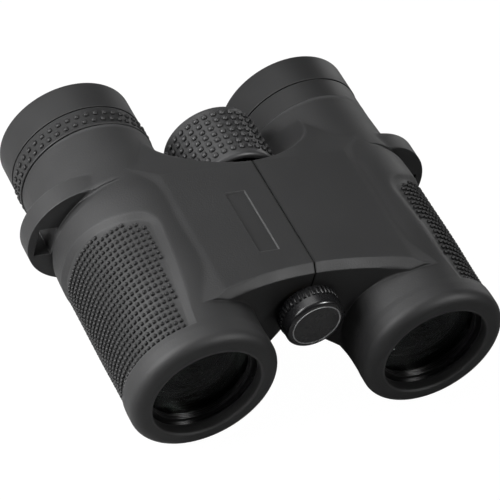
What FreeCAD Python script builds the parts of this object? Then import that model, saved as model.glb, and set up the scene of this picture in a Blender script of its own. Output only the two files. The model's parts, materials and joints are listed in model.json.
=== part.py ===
import FreeCAD, Part
import Sketcher
import math
import os
import re

from FreeCAD import Placement, Rotation, Vector

# A pair of compact roof-prism binoculars, opened flat.
# +X runs across both barrels, the objectives face -Y and +Z is up.
# The origin lies on the ground under the middle of the instrument.
# "Right" and "left" are the user's, who looks along -Y, so right is -X.
# Every sub-part is drawn in a frame whose y = 0 is the front of the
# objective lips and whose z = 0 is the height of the two optical axes.

doc = FreeCAD.newDocument("binoculars")
sheet = doc.addObject("Spreadsheet::Sheet", "sizes")

SIZES = {
    # the whole instrument
    "axis_spacing": 74.0,
    "overall_length": 107.0,
    "hinge_rise": 8.7,
    # clearances
    "fit_gap": 0.05,
    "running_gap": 0.05,
    "part_gap": 0.3,
    "seam_gap": 0.2,
    # how far a cut runs past its material, and a joined shape into it
    "overcut": 1.0,
    "overlap": 1.0,
    # armour: barrel outline
    "barrel_radius": 22.1,
    "barrel_front": 28.0,
    "barrel_rear": 57.0,
    "swell_in": 1.0,
    "swell_tuck": 0.9,
    "swell_rise": 1.7,
    "swell_drop": 1.8,
    "bell_radius": 22.3,
    "bell_length": 6.0,
    "bell_round": 3.2,
    "bell_taper": 0.4,
    "bell_fade": 6.0,
    "tube_radius": 22.0,
    "tube_station": 14.0,
    "neck_radius": 20.83,
    "neck_station": 73.0,
    "neck_flare": 0.5,
    "opening_radius": 16.5,
    "lip_depth": 3.6,
    # armour: bridge
    "deck_skin": 2.4,
    "deck_rear": 64.4,
    "deck_chamfer": 2.2,
    "ledge_width": 7.0,
    "ledge_drop": 1.6,
    "fall_front": 62.3,
    "fall_tan": 0.28,
    "saddle_round": 24.0,
    "saddle_rear": 87.0,
    "wheel_room": 1.7,
    "wheel_gap": 0.9,
    "front_wall": 18.3,
    "front_sweep": 99.5,
    "wall_skin": 2.0,
    "under_skin": 1.6,
    "fold_half_angle": 30.0,
    "under_inner_z": -6.0,
    "under_outer_z": -13.0,
    "under_outer_x": 20.5,
    "plate_length": 24.0,
    "plate_width": 6.4,
    "plate_centre_x": 11.0,
    "plate_centre_y": 39.5,
    "plate_depth": 0.4,
    # armour: grip recess
    "grip_front": 7.8,
    "grip_rear": 46.8,
    "grip_rear_side": 54.0,
    "grip_edge_front": 7.4,
    "grip_edge_rear": 3.0,
    "grip_corner": 4.0,
    "grip_depth": 0.9,
    "grip_bevel": 2.4,
    # armour: strap lug
    "lug_front": 65.0,
    "lug_depth": 6.2,
    "lug_fade": 4.0,
    "lug_reach": 10.5,
    "lug_radius": 17.9,
    "lug_rise": 1.1,
    "lug_fade_reach": 1.2,
    "slot_inner": 20.3,
    "slot_width": 5.4,
    "slot_height": 10.6,
    "scoop_front": 61.3,
    "scoop_shift": 2.9,
    "scoop_radius": 23.1,
    "scoop_rise": 1.5,
    # housing
    "housing_radius": 19.2,
    "housing_rear": 70.0,
    "housing_shoulder": 6.0,
    "cell_bore": 17.75,
    "cell_length": 16.4,
    "focus_bore": 16.6,
    "chamber_front": 46.0,
    "chamber_bore": 17.6,
    # hinge
    "knuckle_radius": 8.2,
    "knuckle_front": 20.6,
    "knuckle_length": 6.8,
    "washer_thickness": 0.5,
    "washer_play": 0.1,
    "knuckle_rear": 60.6,
    "hinge_tube_radius": 4.6,
    "hinge_tube_bore": 3.45,
    "hinge_tube_end": 80.0,
    # tripod socket and its cap
    "bush_radius": 5.6,
    "bush_front": 11.8,
    "socket_radius": 3.175,
    "socket_depth": 8.0,
    "spigot_length": 4.0,
    "cap_front": 10.2,
    "cap_rear": 17.3,
    "cap_radius": 9.1,
    "cap_round": 1.2,
    "cap_grip_radius": 8.9,
    "cap_grip_length": 3.6,
    "inlay_radius": 7.3,
    "inlay_depth": 0.5,
    # focusing
    "carriage_y": 40.0,
    "carriage_length": 5.2,
    "carriage_radius": 7.6,
    "carriage_floor": 5.6,
    "carriage_slot": 2.1,
    "focus_travel": 2.5,
    "nut_radius": 3.4,
    "spindle_radius": 2.0,
    "spindle_front": 34.0,
    "pin_radius": 0.8,
    "arm_thickness": 1.9,
    "arm_width": 5.0,
    "fork_radius": 9.6,
    "fork_half_angle": 44.0,
    "arm_seat": 14.6,
    "wheel_front": 66.6,
    "wheel_rear": 88.0,
    "wheel_radius": 14.3,
    "wheel_round": 1.3,
    "tyre_wall": 1.7,
    "hub_web_front": 80.4,
    "hub_web": 4.0,
    "hub_rim": 1.4,
    "hub_boss": 6.6,
    "end_cap_thickness": 2.0,
    # objective
    "lens_radius": 16.2,
    "front_lens_y": 7.2,
    "front_lens_edge": 1.8,
    "front_bulge": 2.0,
    "cement_bulge": 2.4,
    "rear_lens_edge": 4.4,
    "clamp_ring_bore": 15.3,
    "clamp_ring_length": 2.2,
    "clamp_ring_radius": 17.0,
    "cell_stop_bore": 15.0,
    "seal_thickness": 1.1,
    "seal_y": 16.5,
    # focusing lens
    "focus_cell_length": 7.0,
    "focus_lens_radius": 12.5,
    "focus_lens_edge": 4.0,
    "focus_hollow": 1.1,
    "focus_cell_lip": 1.2,
    # prisms
    "cage_length": 20.4,
    "prism_width": 19.6,
    "prism_height": 28.0,
    "prism_aperture": 14.0,
    "prism_run": 16.0,
    "prism_gap": 0.4,
    "prism_step": 1.5,
    "penta_half_angle": 22.5,
    "roof_side": 22.0,
    "prism_end_gap": 0.7,
    # ocular
    "spigot_depth": 3.0,
    "ocular_neck": 18.4,
    "ocular_bore": 15.6,
    "ring_seat": 17.9,
    "sleeve_seat": 17.5,
    "ring_radius": 20.8,
    "ring_length": 7.4,
    "ocular_cell_rise": 5.0,
    "ocular_cell_depth": 7.0,
    "diopter_travel": 1.2,
    "diopter_half_angle": 50.0,
    "field_lens_radius": 13.4,
    "field_lens_rise": 7.5,
    "field_lens_edge": 2.6,
    "field_bulge": 1.6,
    "eye_lens_radius": 11.6,
    "eye_lens_depth": 13.5,
    "eye_lens_edge": 3.0,
    "eye_bulge": 1.1,
    "eye_ring_length": 1.6,
    "eye_ring_bore": 10.6,
    "drive_groove_depth": 1.5,
    "drive_slot_margin": 6.0,
    "drive_pin_reach": 1.0,
    "drive_pin_root": 0.4,
    "lens_stop": 1.0,
    # eyecup
    "eyecup_length": 10.9,
    "eyecup_radius": 21.05,
    "eyecup_rim": 1.8,
    "eyecup_mouth": 15.4,
    "eyecup_round": 1.0,
    "sleeve_wall": 1.5,
}

for row, (alias, value) in enumerate(SIZES.items(), start=1):
    sheet.set(f"A{row}", alias)
    sheet.set(f"B{row}", str(value))
    sheet.setAlias(f"B{row}", alias)
doc.recompute()

NAME = re.compile(r"[a-z_]{3,}")
SUBPARTS = []


# ---------------------------------------------------------------- helpers

def bound(text):
    """Turn size names in text into references to the sheet."""
    def cell(match):
        word = match.group()
        return f"sizes.{word}" if word in SIZES else word
    return NAME.sub(cell, str(text))


def number(text):
    """Work out an expression on the sheet as a plain number."""
    result = sheet.evalExpression(bound(text))
    return float(getattr(result, "Value", result))


def subpart(label, x="0", z="0"):
    """Start a sub-part whose own origin lies on the axis at x, z."""
    body = doc.addObject("PartDesign::Body", label)
    body.Label = label
    body.setExpression("Placement.Base.x", bound(x))
    body.setExpression("Placement.Base.y", bound("-overall_length / 2"))
    height = f"barrel_radius + swell_drop + ({z})"
    body.setExpression("Placement.Base.z", bound(height))
    SUBPARTS.append(body)
    return body


def plane_of(body, role):
    """Find one of the body's own origin planes or axes."""
    for feature in body.Origin.OriginFeatures:
        if feature.Role == role:
            return feature
    raise ValueError(role)


def blank_sketch(body, name, plane, origin):
    """Attach an empty sketch to an origin plane, moved by origin."""
    sketch = body.newObject("Sketcher::SketchObject", name)
    sketch.AttachmentSupport = (plane_of(body, plane), [""])
    sketch.MapMode = "FlatFace"
    for letter, text in zip("xyz", origin):
        sketch.setExpression(f"AttachmentOffset.Base.{letter}", bound(text))
    return sketch


def fix_point(sketch, edge, end, point):
    """Bind one vertex's two coordinates."""
    for kind, text in zip(("DistanceX", "DistanceY"), point):
        rule = Sketcher.Constraint(kind, -1, 1, edge, end, number(text))
        index = sketch.addConstraint(rule)
        sketch.setExpression(f"Constraints[{index}]", bound(text))


def polygon(body, name, plane, points, origin=("0", "0", "0")):
    """Draw a closed outline of straight lines through bound points."""
    sketch = blank_sketch(body, name, plane, origin)
    spots = [Vector(number(u), number(v), 0) for u, v in points]
    for first, second in zip(spots, spots[1:] + spots[:1]):
        sketch.addGeometry(Part.LineSegment(first, second), False)
    count = len(spots)
    for edge in range(count):
        following = (edge + 1) % count
        rule = Sketcher.Constraint("Coincident", edge, 2, following, 1)
        sketch.addConstraint(rule)
    for edge, point in enumerate(points):
        fix_point(sketch, edge, 1, point)
    return sketch


def round_corner(sketch, first, second, radius):
    """Round the corner between two of a polygon's lines."""
    doc.recompute()
    arc = sketch.GeometryCount
    sketch.fillet(first, second, sketch.getPoint(first, 1), sketch.getPoint(second, 2),
                  number(radius), True, True)
    rule = Sketcher.Constraint("Radius", arc, number(radius))
    index = sketch.addConstraint(rule)
    sketch.setExpression(f"Constraints[{index}]", bound(radius))


def circle(body, name, plane, centre, radius, origin=("0", "0", "0")):
    """Draw one bound circle."""
    sketch = blank_sketch(body, name, plane, origin)
    middle = Vector(number(centre[0]), number(centre[1]), 0)
    ring = Part.Circle(middle, Vector(0, 0, 1), number(radius))
    sketch.addGeometry(ring, False)
    fix_point(sketch, 0, 3, centre)
    rule = Sketcher.Constraint("Radius", 0, number(radius))
    index = sketch.addConstraint(rule)
    sketch.setExpression(f"Constraints[{index}]", bound(radius))
    return sketch


def belt(body, name, origin, first, second):
    """Draw the tight belt round two circles, in a plane across the axis.

    Each circle is (x, z, radius).
    """
    sketch = blank_sketch(body, name, "XZ_Plane", origin)
    x1, z1, r1 = (number(text) for text in first)
    x2, z2, r2 = (number(text) for text in second)
    bearing = math.atan2(z2 - z1, x2 - x1)
    lean = math.acos((r1 - r2) / math.hypot(x2 - x1, z2 - z1))
    up, down = bearing + lean, bearing - lean
    whole = 2 * math.pi

    def arc(x, z, r, start, end):
        ring = Part.Circle(Vector(x, z, 0), Vector(0, 0, 1), r)
        return Part.ArcOfCircle(ring, start, end)

    def spot(x, z, r, angle):
        return Vector(x + r * math.cos(angle), z + r * math.sin(angle), 0)

    sketch.addGeometry(arc(x1, z1, r1, up, down + whole), False)
    lower = (spot(x1, z1, r1, down), spot(x2, z2, r2, down))
    sketch.addGeometry(Part.LineSegment(*lower), False)
    sketch.addGeometry(arc(x2, z2, r2, down, up), False)
    upper = (spot(x2, z2, r2, up), spot(x1, z1, r1, up))
    sketch.addGeometry(Part.LineSegment(*upper), False)
    for edge in range(4):
        following = (edge + 1) % 4
        rule = Sketcher.Constraint("Tangent", edge, 2, following, 1)
        sketch.addConstraint(rule)
    for edge, (x, z, r) in ((0, first), (2, second)):
        fix_point(sketch, edge, 3, (x, z))
        rule = Sketcher.Constraint("Radius", edge, number(r))
        index = sketch.addConstraint(rule)
        sketch.setExpression(f"Constraints[{index}]", bound(r))
    return sketch


def turn(body, sketch, kind="Revolution"):
    """Turn a sketch about its own vertical axis: add or cut."""
    feature = body.newObject(f"PartDesign::{kind}", f"{kind.lower()}_of_{sketch.Name}")
    feature.Profile = sketch
    feature.ReferenceAxis = (sketch, ["V_Axis"])
    feature.Angle = 360
    return feature


def extrude(body, sketch, length, kind="Pad"):
    """Pad or pocket a sketch drawn across the axis towards +Y."""
    feature = body.newObject(f"PartDesign::{kind}", f"{kind.lower()}_of_{sketch.Name}")
    feature.Profile = sketch
    feature.Type = 0
    feature.Reversed = kind == "Pad"
    feature.setExpression("Length", bound(length))
    return feature


def across(y):
    """Origin of a sketch in the plane across the axis at y."""
    return ("0", "0", f"-({y})")


def round_rims(body, base, radius, rims):
    """Fillet the full circles given as (radius, y) about the body's axis."""
    doc.recompute()
    wanted = [(number(r), number(y)) for r, y in rims]
    names = []
    for index, edge in enumerate(base.Shape.Edges, start=1):
        if not isinstance(edge.Curve, Part.Circle):
            continue
        found = (edge.Curve.Radius, edge.Curve.Center.y)
        if any(math.dist(found, rim) < 0.01 for rim in wanted):
            names.append(f"Edge{index}")
    fillet = body.newObject("PartDesign::Fillet", f"round_{base.Name}")
    fillet.Base = (base, names)
    fillet.setExpression("Radius", bound(radius))
    return fillet


def lathe(label, x, z, profile):
    """Make a turned sub-part from a profile of (radius, y) points."""
    body = subpart(label, x, z)
    turned = turn(body, polygon(body, f"{label}_profile", "XY_Plane", profile))
    return body, turned


def sleeve(label, x, z, inner, outer, front, rear):
    """Make a plain turned ring."""
    profile = [(inner, front), (outer, front), (outer, rear), (inner, rear)]
    return lathe(label, x, z, profile)


def lens(label, x, z, radius, front, edge, front_bulge, rear_bulge):
    """Make a lens; a bulge is positive where that face is convex."""
    body = subpart(label, x, z)
    sketch = blank_sketch(body, f"{label}_profile", "XY_Plane", ("0", "0", "0"))
    rear = f"({front}) + ({edge})"
    rims = ((radius, front), (radius, rear))
    crowns = (("0", f"({front}) - ({front_bulge})"), ("0", f"({rear}) + ({rear_bulge})"))
    for line, ends in enumerate((rims, crowns)):
        spots = [Vector(number(u), number(v), 0) for u, v in ends]
        sketch.addGeometry(Part.LineSegment(*spots), False)
        fix_point(sketch, line, 1, ends[0])
        fix_point(sketch, line, 2, ends[1])
    for face in (0, 1):
        rim_y, crown_y = number(rims[face][1]), number(crowns[face][1])
        reach, sag = number(radius), rim_y - crown_y
        if abs(sag) < 1e-6:
            flat = Part.LineSegment(Vector(reach, rim_y, 0), Vector(0, crown_y, 0))
            edge_index = sketch.addGeometry(flat, False)
            rim_end, crown_end = 1, 2
        else:
            curve = (reach * reach + sag * sag) / (2 * abs(sag))
            centre = Vector(0, crown_y + math.copysign(curve, sag), 0)
            rim_angle = math.atan2(rim_y - centre.y, reach)
            crown_angle = math.copysign(math.pi / 2, -sag)
            ring = Part.Circle(centre, Vector(0, 0, 1), curve)
            angles = sorted((rim_angle, crown_angle))
            edge_index = sketch.addGeometry(Part.ArcOfCircle(ring, *angles), False)
            rim_end, crown_end = (1, 2) if rim_angle < crown_angle else (2, 1)
            centred = Sketcher.Constraint("PointOnObject", edge_index, 3, -2)
            sketch.addConstraint(centred)
        line_end = face + 1
        for end, line in ((rim_end, 0), (crown_end, 1)):
            rule = Sketcher.Constraint("Coincident", edge_index, end, line, line_end)
            sketch.addConstraint(rule)
    return body, turn(body, sketch)


# ------------------------------------------------------- shared positions

DECK_TOP = "(barrel_radius + swell_rise)"
HINGE_TAN = "tan(fold_half_angle)"
ARM_LENGTH = "sqrt((axis_spacing / 2)^2 + hinge_rise^2)"
# Where the bridge's underside meets the plane that lets the barrels fold.
UNDER_X = f"({HINGE_TAN} * (hinge_rise - under_inner_z) + seam_gap)"
UNDER_SLOPE = f"((under_outer_z - under_inner_z) / (under_outer_x - {UNDER_X}))"
BRIDGE_FRONT = "(front_wall + wall_skin)"
BRIDGE_REAR = "(deck_rear - wall_skin)"
HOUSING_FRONT = "lip_depth"
FOCUS_BORE_FRONT = "(lip_depth + cell_length + fit_gap)"
NECK_FRONT = "housing_rear"
# The rear end's stations hang on the overall length.
EYECUP_FRONT = "(overall_length - eyecup_length)"
RING_REAR = f"({EYECUP_FRONT} - part_gap)"
RING_FRONT = f"({RING_REAR} - ring_length)"
NECK_END = f"({RING_FRONT} - part_gap)"
OCULAR_END = "(overall_length - eyecup_rim - seam_gap)"
KNUCKLE_STEP = "(knuckle_length + washer_thickness + 2 * washer_play)"
LEFT_REAR_KNUCKLE = f"(knuckle_rear - {KNUCKLE_STEP} - knuckle_length)"
SIDES = {"right": -1, "left": 1}


def outward(side, distance):
    """Local x of a point this far from the seam, in a barrel's frame."""
    return f"{side} * (({distance}) - axis_spacing / 2)"


def barrel_x(side):
    return f"{side} * axis_spacing / 2"


def hinge_point(side):
    return (outward(side, "0"), "hinge_rise")


def hinge_hole(body, side, name, radius, front, rear):
    """Cut a round hole along the hinge axis from front to rear."""
    ring = circle(body, name, "XZ_Plane", hinge_point(side), radius, across(front))
    return extrude(body, ring, f"({rear}) - ({front})", "Pocket")


# ---------------------------------------------------------------- armour

WAIST = "(barrel_rear - barrel_front)"
SADDLE_FOOT = "(neck_radius - part_gap / 2)"

STATIONS = (
    # y, radius, share of the palm swell
    ("bell_length - overlap", "tube_radius - part_gap", "0.1"),
    ("(bell_length + tube_station) / 2", "tube_radius", "0.1"),
    ("tube_station", "tube_radius", "0.15"),
    ("(tube_station + barrel_front) / 2", "(tube_radius + barrel_radius) / 2", "0.6"),
    ("barrel_front", "barrel_radius", "1"),
    (f"barrel_front + {WAIST} / 3", "barrel_radius", "1"),
    (f"barrel_rear - {WAIST} / 3", "barrel_radius", "1"),
    ("barrel_rear", "barrel_radius", "1"),
    ("(barrel_rear + neck_station) / 2", "(barrel_radius + neck_radius + neck_flare) / 2", "0.55"),
    ("neck_station", "neck_radius + neck_flare", "0.15"),
    (f"(neck_station + {NECK_END}) / 2", "neck_radius + neck_flare / 3", "0.1"),
    (NECK_END, "neck_radius", "0.1"),
)


def barrel_section(body, side, name, y, radius, share, inset="0"):
    """Two circles and their belt: one rises into the deck, one fills the palm below."""
    first = (f"-{side} * swell_in * ({share})", f"swell_rise * ({share})",
             f"{radius} - ({inset})")
    second = (f"-{side} * swell_tuck * ({share})", f"-swell_drop * ({share})",
              f"{radius} - ({inset})")
    return belt(body, name, across(y), first, second)


def bridge_outline(side):
    return [
        (outward(side, "seam_gap"), DECK_TOP),
        (outward(side, "axis_spacing / 2 - ledge_width"), DECK_TOP),
        (outward(side, "axis_spacing / 2 + swell_in"), f"{DECK_TOP} - ledge_drop"),
        (outward(side, "axis_spacing / 2"), "0"),
        (outward(side, "under_outer_x"), "under_outer_z"),
        (outward(side, UNDER_X), "under_inner_z"),
        (outward(side, "seam_gap"), "hinge_rise"),
    ]


def under_line(distance, gap):
    """Height of the bridge's inner floor at a distance from the seam."""
    rise = f"under_inner_z + under_skin + {gap}"
    return f"{rise} + {UNDER_SLOPE} * (({distance}) - {UNDER_X})"


def bridge_cavity(side):
    """Inside of the armour's bridge, open towards the hinge."""
    past_seam = "-2 * washer_thickness"
    return [
        (outward(side, past_seam), f"{DECK_TOP} - deck_skin"),
        (outward(side, "axis_spacing / 2 - housing_shoulder"), f"{DECK_TOP} - deck_skin"),
        (outward(side, "axis_spacing / 2"), "housing_radius / 2"),
        (outward(side, "axis_spacing / 2"), "-housing_radius / 2"),
        (outward(side, "under_outer_x"), under_line("under_outer_x", "0")),
        (outward(side, past_seam), under_line(past_seam, "0")),
    ]


def saddle(body, name, side):
    """Shape the bridge's rear: it falls from the deck and sweeps into the neck.

    The sweep is turned about the barrel, and the wheel gets a round room.
    """
    rear = "(saddle_rear + overcut)"
    fall = [
        ("fall_front", DECK_TOP),
        (rear, f"{DECK_TOP} - fall_tan * ({rear} - fall_front)"),
        (rear, f"{DECK_TOP} + overcut"),
        ("fall_front", f"{DECK_TOP} + overcut"),
    ]
    origin = ("0", "0", "-axis_spacing")
    profile = polygon(body, f"{name}_deck_fall", "YZ_Plane", fall, origin)
    cut = body.newObject("PartDesign::Pocket", f"{name}_deck_fall_cut")
    cut.Profile = profile
    cut.Type = 0
    cut.Reversed = True
    cut.setExpression("Length", bound("2 * axis_spacing"))
    turn(body, sweep_profile(body, f"{name}_saddle"), "Groove")
    hinge_hole(body, side, f"{name}_wheel_room", "wheel_radius + wheel_room",
               "wheel_front - wheel_gap", rear)


def sweep_profile(body, name):
    """Draw what lies outside the concave sweep from the neck to the bridge.

    The sweep's foot lies a little under the neck's skin, all the way round.
    """
    sketch = blank_sketch(body, name, "XY_Plane", ("0", "0", "0"))
    foot, rise = number(SADDLE_FOOT), number("saddle_round")
    rear, end = number("saddle_rear"), number("saddle_rear + 2 * overcut")
    centre = Vector(foot + rise, rear, 0)
    ring = Part.Circle(centre, Vector(0, 0, 1), rise)
    sketch.addGeometry(Part.ArcOfCircle(ring, math.pi, 1.5 * math.pi), False)
    corners = [Vector(foot + rise, rear - rise, 0), Vector(foot + rise, end, 0),
               Vector(foot, end, 0), Vector(foot, rear, 0)]
    for first, second in zip(corners, corners[1:]):
        sketch.addGeometry(Part.LineSegment(first, second), False)
    joints = ((0, 2, 1, 1), (1, 2, 2, 1), (2, 2, 3, 1), (3, 2, 0, 1))
    for joint in joints:
        sketch.addConstraint(Sketcher.Constraint("Coincident", *joint))
    fix_point(sketch, 0, 3, (f"{SADDLE_FOOT} + saddle_round", "saddle_rear"))
    fix_point(sketch, 0, 1, (SADDLE_FOOT, "saddle_rear"))
    fix_point(sketch, 2, 1, (f"{SADDLE_FOOT} + saddle_round", "saddle_rear + 2 * overcut"))
    fix_point(sketch, 3, 1, (SADDLE_FOOT, "saddle_rear + 2 * overcut"))
    below = Sketcher.Constraint("Vertical", 0, 3, 0, 2)
    sketch.addConstraint(below)
    return sketch


def grip_window(side):
    """Plan of the grip recess, open towards the barrel's outer side."""
    past = "(lug_radius + lug_reach)"
    rows = [
        ("grip_edge_front", "grip_front"),
        ("grip_edge_rear", "grip_rear"),
        (past, f"grip_rear + (grip_rear_side - grip_rear) * ({past} - grip_edge_rear) / barrel_radius"),
        (past, "grip_front"),
    ]
    return [(f"{side} * {out}", y) for out, y in rows]


def bevel_window(body, cut, name):
    """Slope the recess's rear wall down to its floor."""
    doc.recompute()
    names = []
    solid = cut.Shape
    for face in solid.Faces:
        if not isinstance(face.Surface, Part.Plane):
            continue
        normal = face.normalAt(0, 0)
        if abs(normal.z) > 1e-6 or face.CenterOfMass.y < number("grip_rear"):
            continue
        if face.CenterOfMass.y > number("grip_rear_side") or abs(normal.x) < 1e-6:
            continue
        for edge in face.Edges:
            ends = [vertex.Point for vertex in edge.Vertexes]
            flat = Vector(ends[0].x - ends[-1].x, ends[0].y - ends[-1].y, 0)
            if flat.Length < 1e-3:
                continue
            for index, other in enumerate(solid.Edges, start=1):
                if other.isSame(edge):
                    names.append(f"Edge{index}")
    bevel = body.newObject("PartDesign::Chamfer", f"{name}_grip_bevel")
    bevel.Base = (cut, names)
    bevel.ChamferType = 1
    bevel.setExpression("Size", bound("grip_bevel"))
    bevel.setExpression("Size2", bound("grip_depth + part_gap"))


def armour(name, side):
    body = subpart(f"{name}_armour", barrel_x(side))

    start = "tube_station"
    outline = polygon(body, f"{name}_bridge", "XZ_Plane", bridge_outline(side), across(start))
    extrude(body, outline, f"saddle_rear - {start}")

    top = f"{DECK_TOP} + deck_chamfer"
    sweep = [
        ("0", "-barrel_radius"),
        ("front_sweep", "-barrel_radius"),
        ("front_sweep", f"{DECK_TOP} - deck_chamfer"),
        ("front_sweep + 2 * deck_chamfer", top),
        ("0", top),
    ]
    middle = ("front_wall - front_sweep", "0", outward(side, "0"))
    turn(body, polygon(body, f"{name}_front_sweep", "YZ_Plane", sweep, middle), "Groove")
    saddle(body, name, side)

    sections = []
    for index, (y, radius, share) in enumerate(STATIONS):
        title = f"{name}_barrel_section_{index}"
        sections.append(barrel_section(body, side, title, y, radius, share))
    barrel = body.newObject("PartDesign::AdditiveLoft", f"{name}_barrel")
    barrel.Profile = sections[0]
    barrel.Sections = sections[1:]
    barrel.Ruled = False

    bell_profile = [
        ("0", "0"),
        ("bell_radius", "0"),
        ("bell_radius", "bell_length"),
        ("bell_radius - bell_taper", "bell_length + bell_fade"),
        ("0", "bell_length + bell_fade"),
    ]
    bell = turn(body, polygon(body, f"{name}_bell", "XY_Plane", bell_profile))
    round_rims(body, bell, "bell_round", [("bell_radius", "0")])

    window = polygon(body, f"{name}_grip_window", "XY_Plane", grip_window(side))
    round_corner(window, 0, 1, "grip_corner")
    cut = body.newObject("PartDesign::Pocket", f"{name}_grip_window_cut")
    cut.Profile = window
    cut.Type = 0
    cut.Midplane = True
    cut.setExpression("Length", bound("4 * barrel_radius"))
    bevel_window(body, cut, name)
    floor_sections = []
    for index, (y, radius, share) in enumerate(STATIONS):
        title = f"{name}_grip_floor_{index}"
        floor_sections.append(barrel_section(body, side, title, y, radius, share, "grip_depth"))
    core = body.newObject("PartDesign::AdditiveLoft", f"{name}_grip_floor")
    core.Profile = floor_sections[0]
    core.Sections = floor_sections[1:]
    core.Ruled = False

    scoop = [
        (f"{side} * (scoop_radius + scoop_rise)", "scoop_front"),
        (f"{side} * scoop_radius", "lug_front"),
        (f"{side} * (scoop_radius + lug_reach)", "lug_front"),
        (f"{side} * (scoop_radius + lug_reach)", "scoop_front"),
    ]
    origin = (f"-{side} * scoop_shift", "0", "0")
    hollow = turn(body, polygon(body, f"{name}_strap_scoop", "XY_Plane", scoop, origin), "Groove")
    hollow.Angle = 180
    hollow.Midplane = True

    lug_sections = []
    lug_rear = "(lug_front + lug_depth)"
    for index, (y, reach, rise, radius) in enumerate((
            ("lug_front", "lug_reach", "lug_rise", "lug_radius"),
            (lug_rear, "lug_reach", "lug_rise", "lug_radius"),
            (f"({lug_rear} + lug_fade)", "lug_fade_reach", "0", "neck_radius - lug_fade_reach"))):
        lug_sections.append(belt(
            body, f"{name}_lug_{index}", across(y),
            ("0", "0", "neck_radius - part_gap"),
            (f"{side} * {reach}", rise, radius)))
    lug = body.newObject("PartDesign::AdditiveLoft", f"{name}_lug")
    lug.Profile = lug_sections[0]
    lug.Sections = lug_sections[1:]
    lug.Ruled = True

    cavity = [
        ("0", "-1"),
        ("opening_radius", "-1"),
        ("opening_radius", "lip_depth"),
        ("housing_radius + fit_gap", "lip_depth"),
        ("housing_radius + fit_gap", NECK_FRONT),
        ("ocular_neck + fit_gap", NECK_FRONT),
        ("ocular_neck + fit_gap", f"{NECK_END} + overcut"),
        ("0", f"{NECK_END} + overcut"),
    ]
    turn(body, polygon(body, f"{name}_cavity", "XY_Plane", cavity), "Groove")

    hollow = polygon(body, f"{name}_bridge_hollow", "XZ_Plane", bridge_cavity(side), across(BRIDGE_FRONT))
    extrude(body, hollow, f"{BRIDGE_REAR} - {BRIDGE_FRONT}", "Pocket")
    hinge_hole(body, side, f"{name}_hinge_hole", "bush_radius + 2 * part_gap", start, "wheel_front")

    half = "slot_height / 2"
    slot = [
        (f"{side} * slot_inner", f"-{half}"),
        (f"{side} * (slot_inner + slot_width)", f"-{half}"),
        (f"{side} * (slot_inner + slot_width)", half),
        (f"{side} * slot_inner", half),
    ]
    slot_sketch = polygon(body, f"{name}_strap_slot", "XZ_Plane", slot, across("lug_front - overcut"))
    extrude(body, slot_sketch, "lug_depth + lug_fade + 2 * overcut", "Pocket")

    if name == "right":
        name_plate(body, side)
    return body


def name_plate(body, side):
    """A shallow rectangle sunk in the right half of the deck."""
    near, far = "plate_centre_x - plate_width / 2", "plate_centre_x + plate_width / 2"
    front, rear = "plate_centre_y - plate_length / 2", "plate_centre_y + plate_length / 2"
    corners = [
        (outward(side, near), front),
        (outward(side, far), front),
        (outward(side, far), rear),
        (outward(side, near), rear),
    ]
    sketch = polygon(body, "right_plate_recess", "XY_Plane", corners, ("0", "0", DECK_TOP))
    cut = body.newObject("PartDesign::Pocket", "right_plate_recess_cut")
    cut.Profile = sketch
    cut.Type = 0
    cut.setExpression("Length", bound("plate_depth"))


# --------------------------------------------------------------- housing

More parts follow.
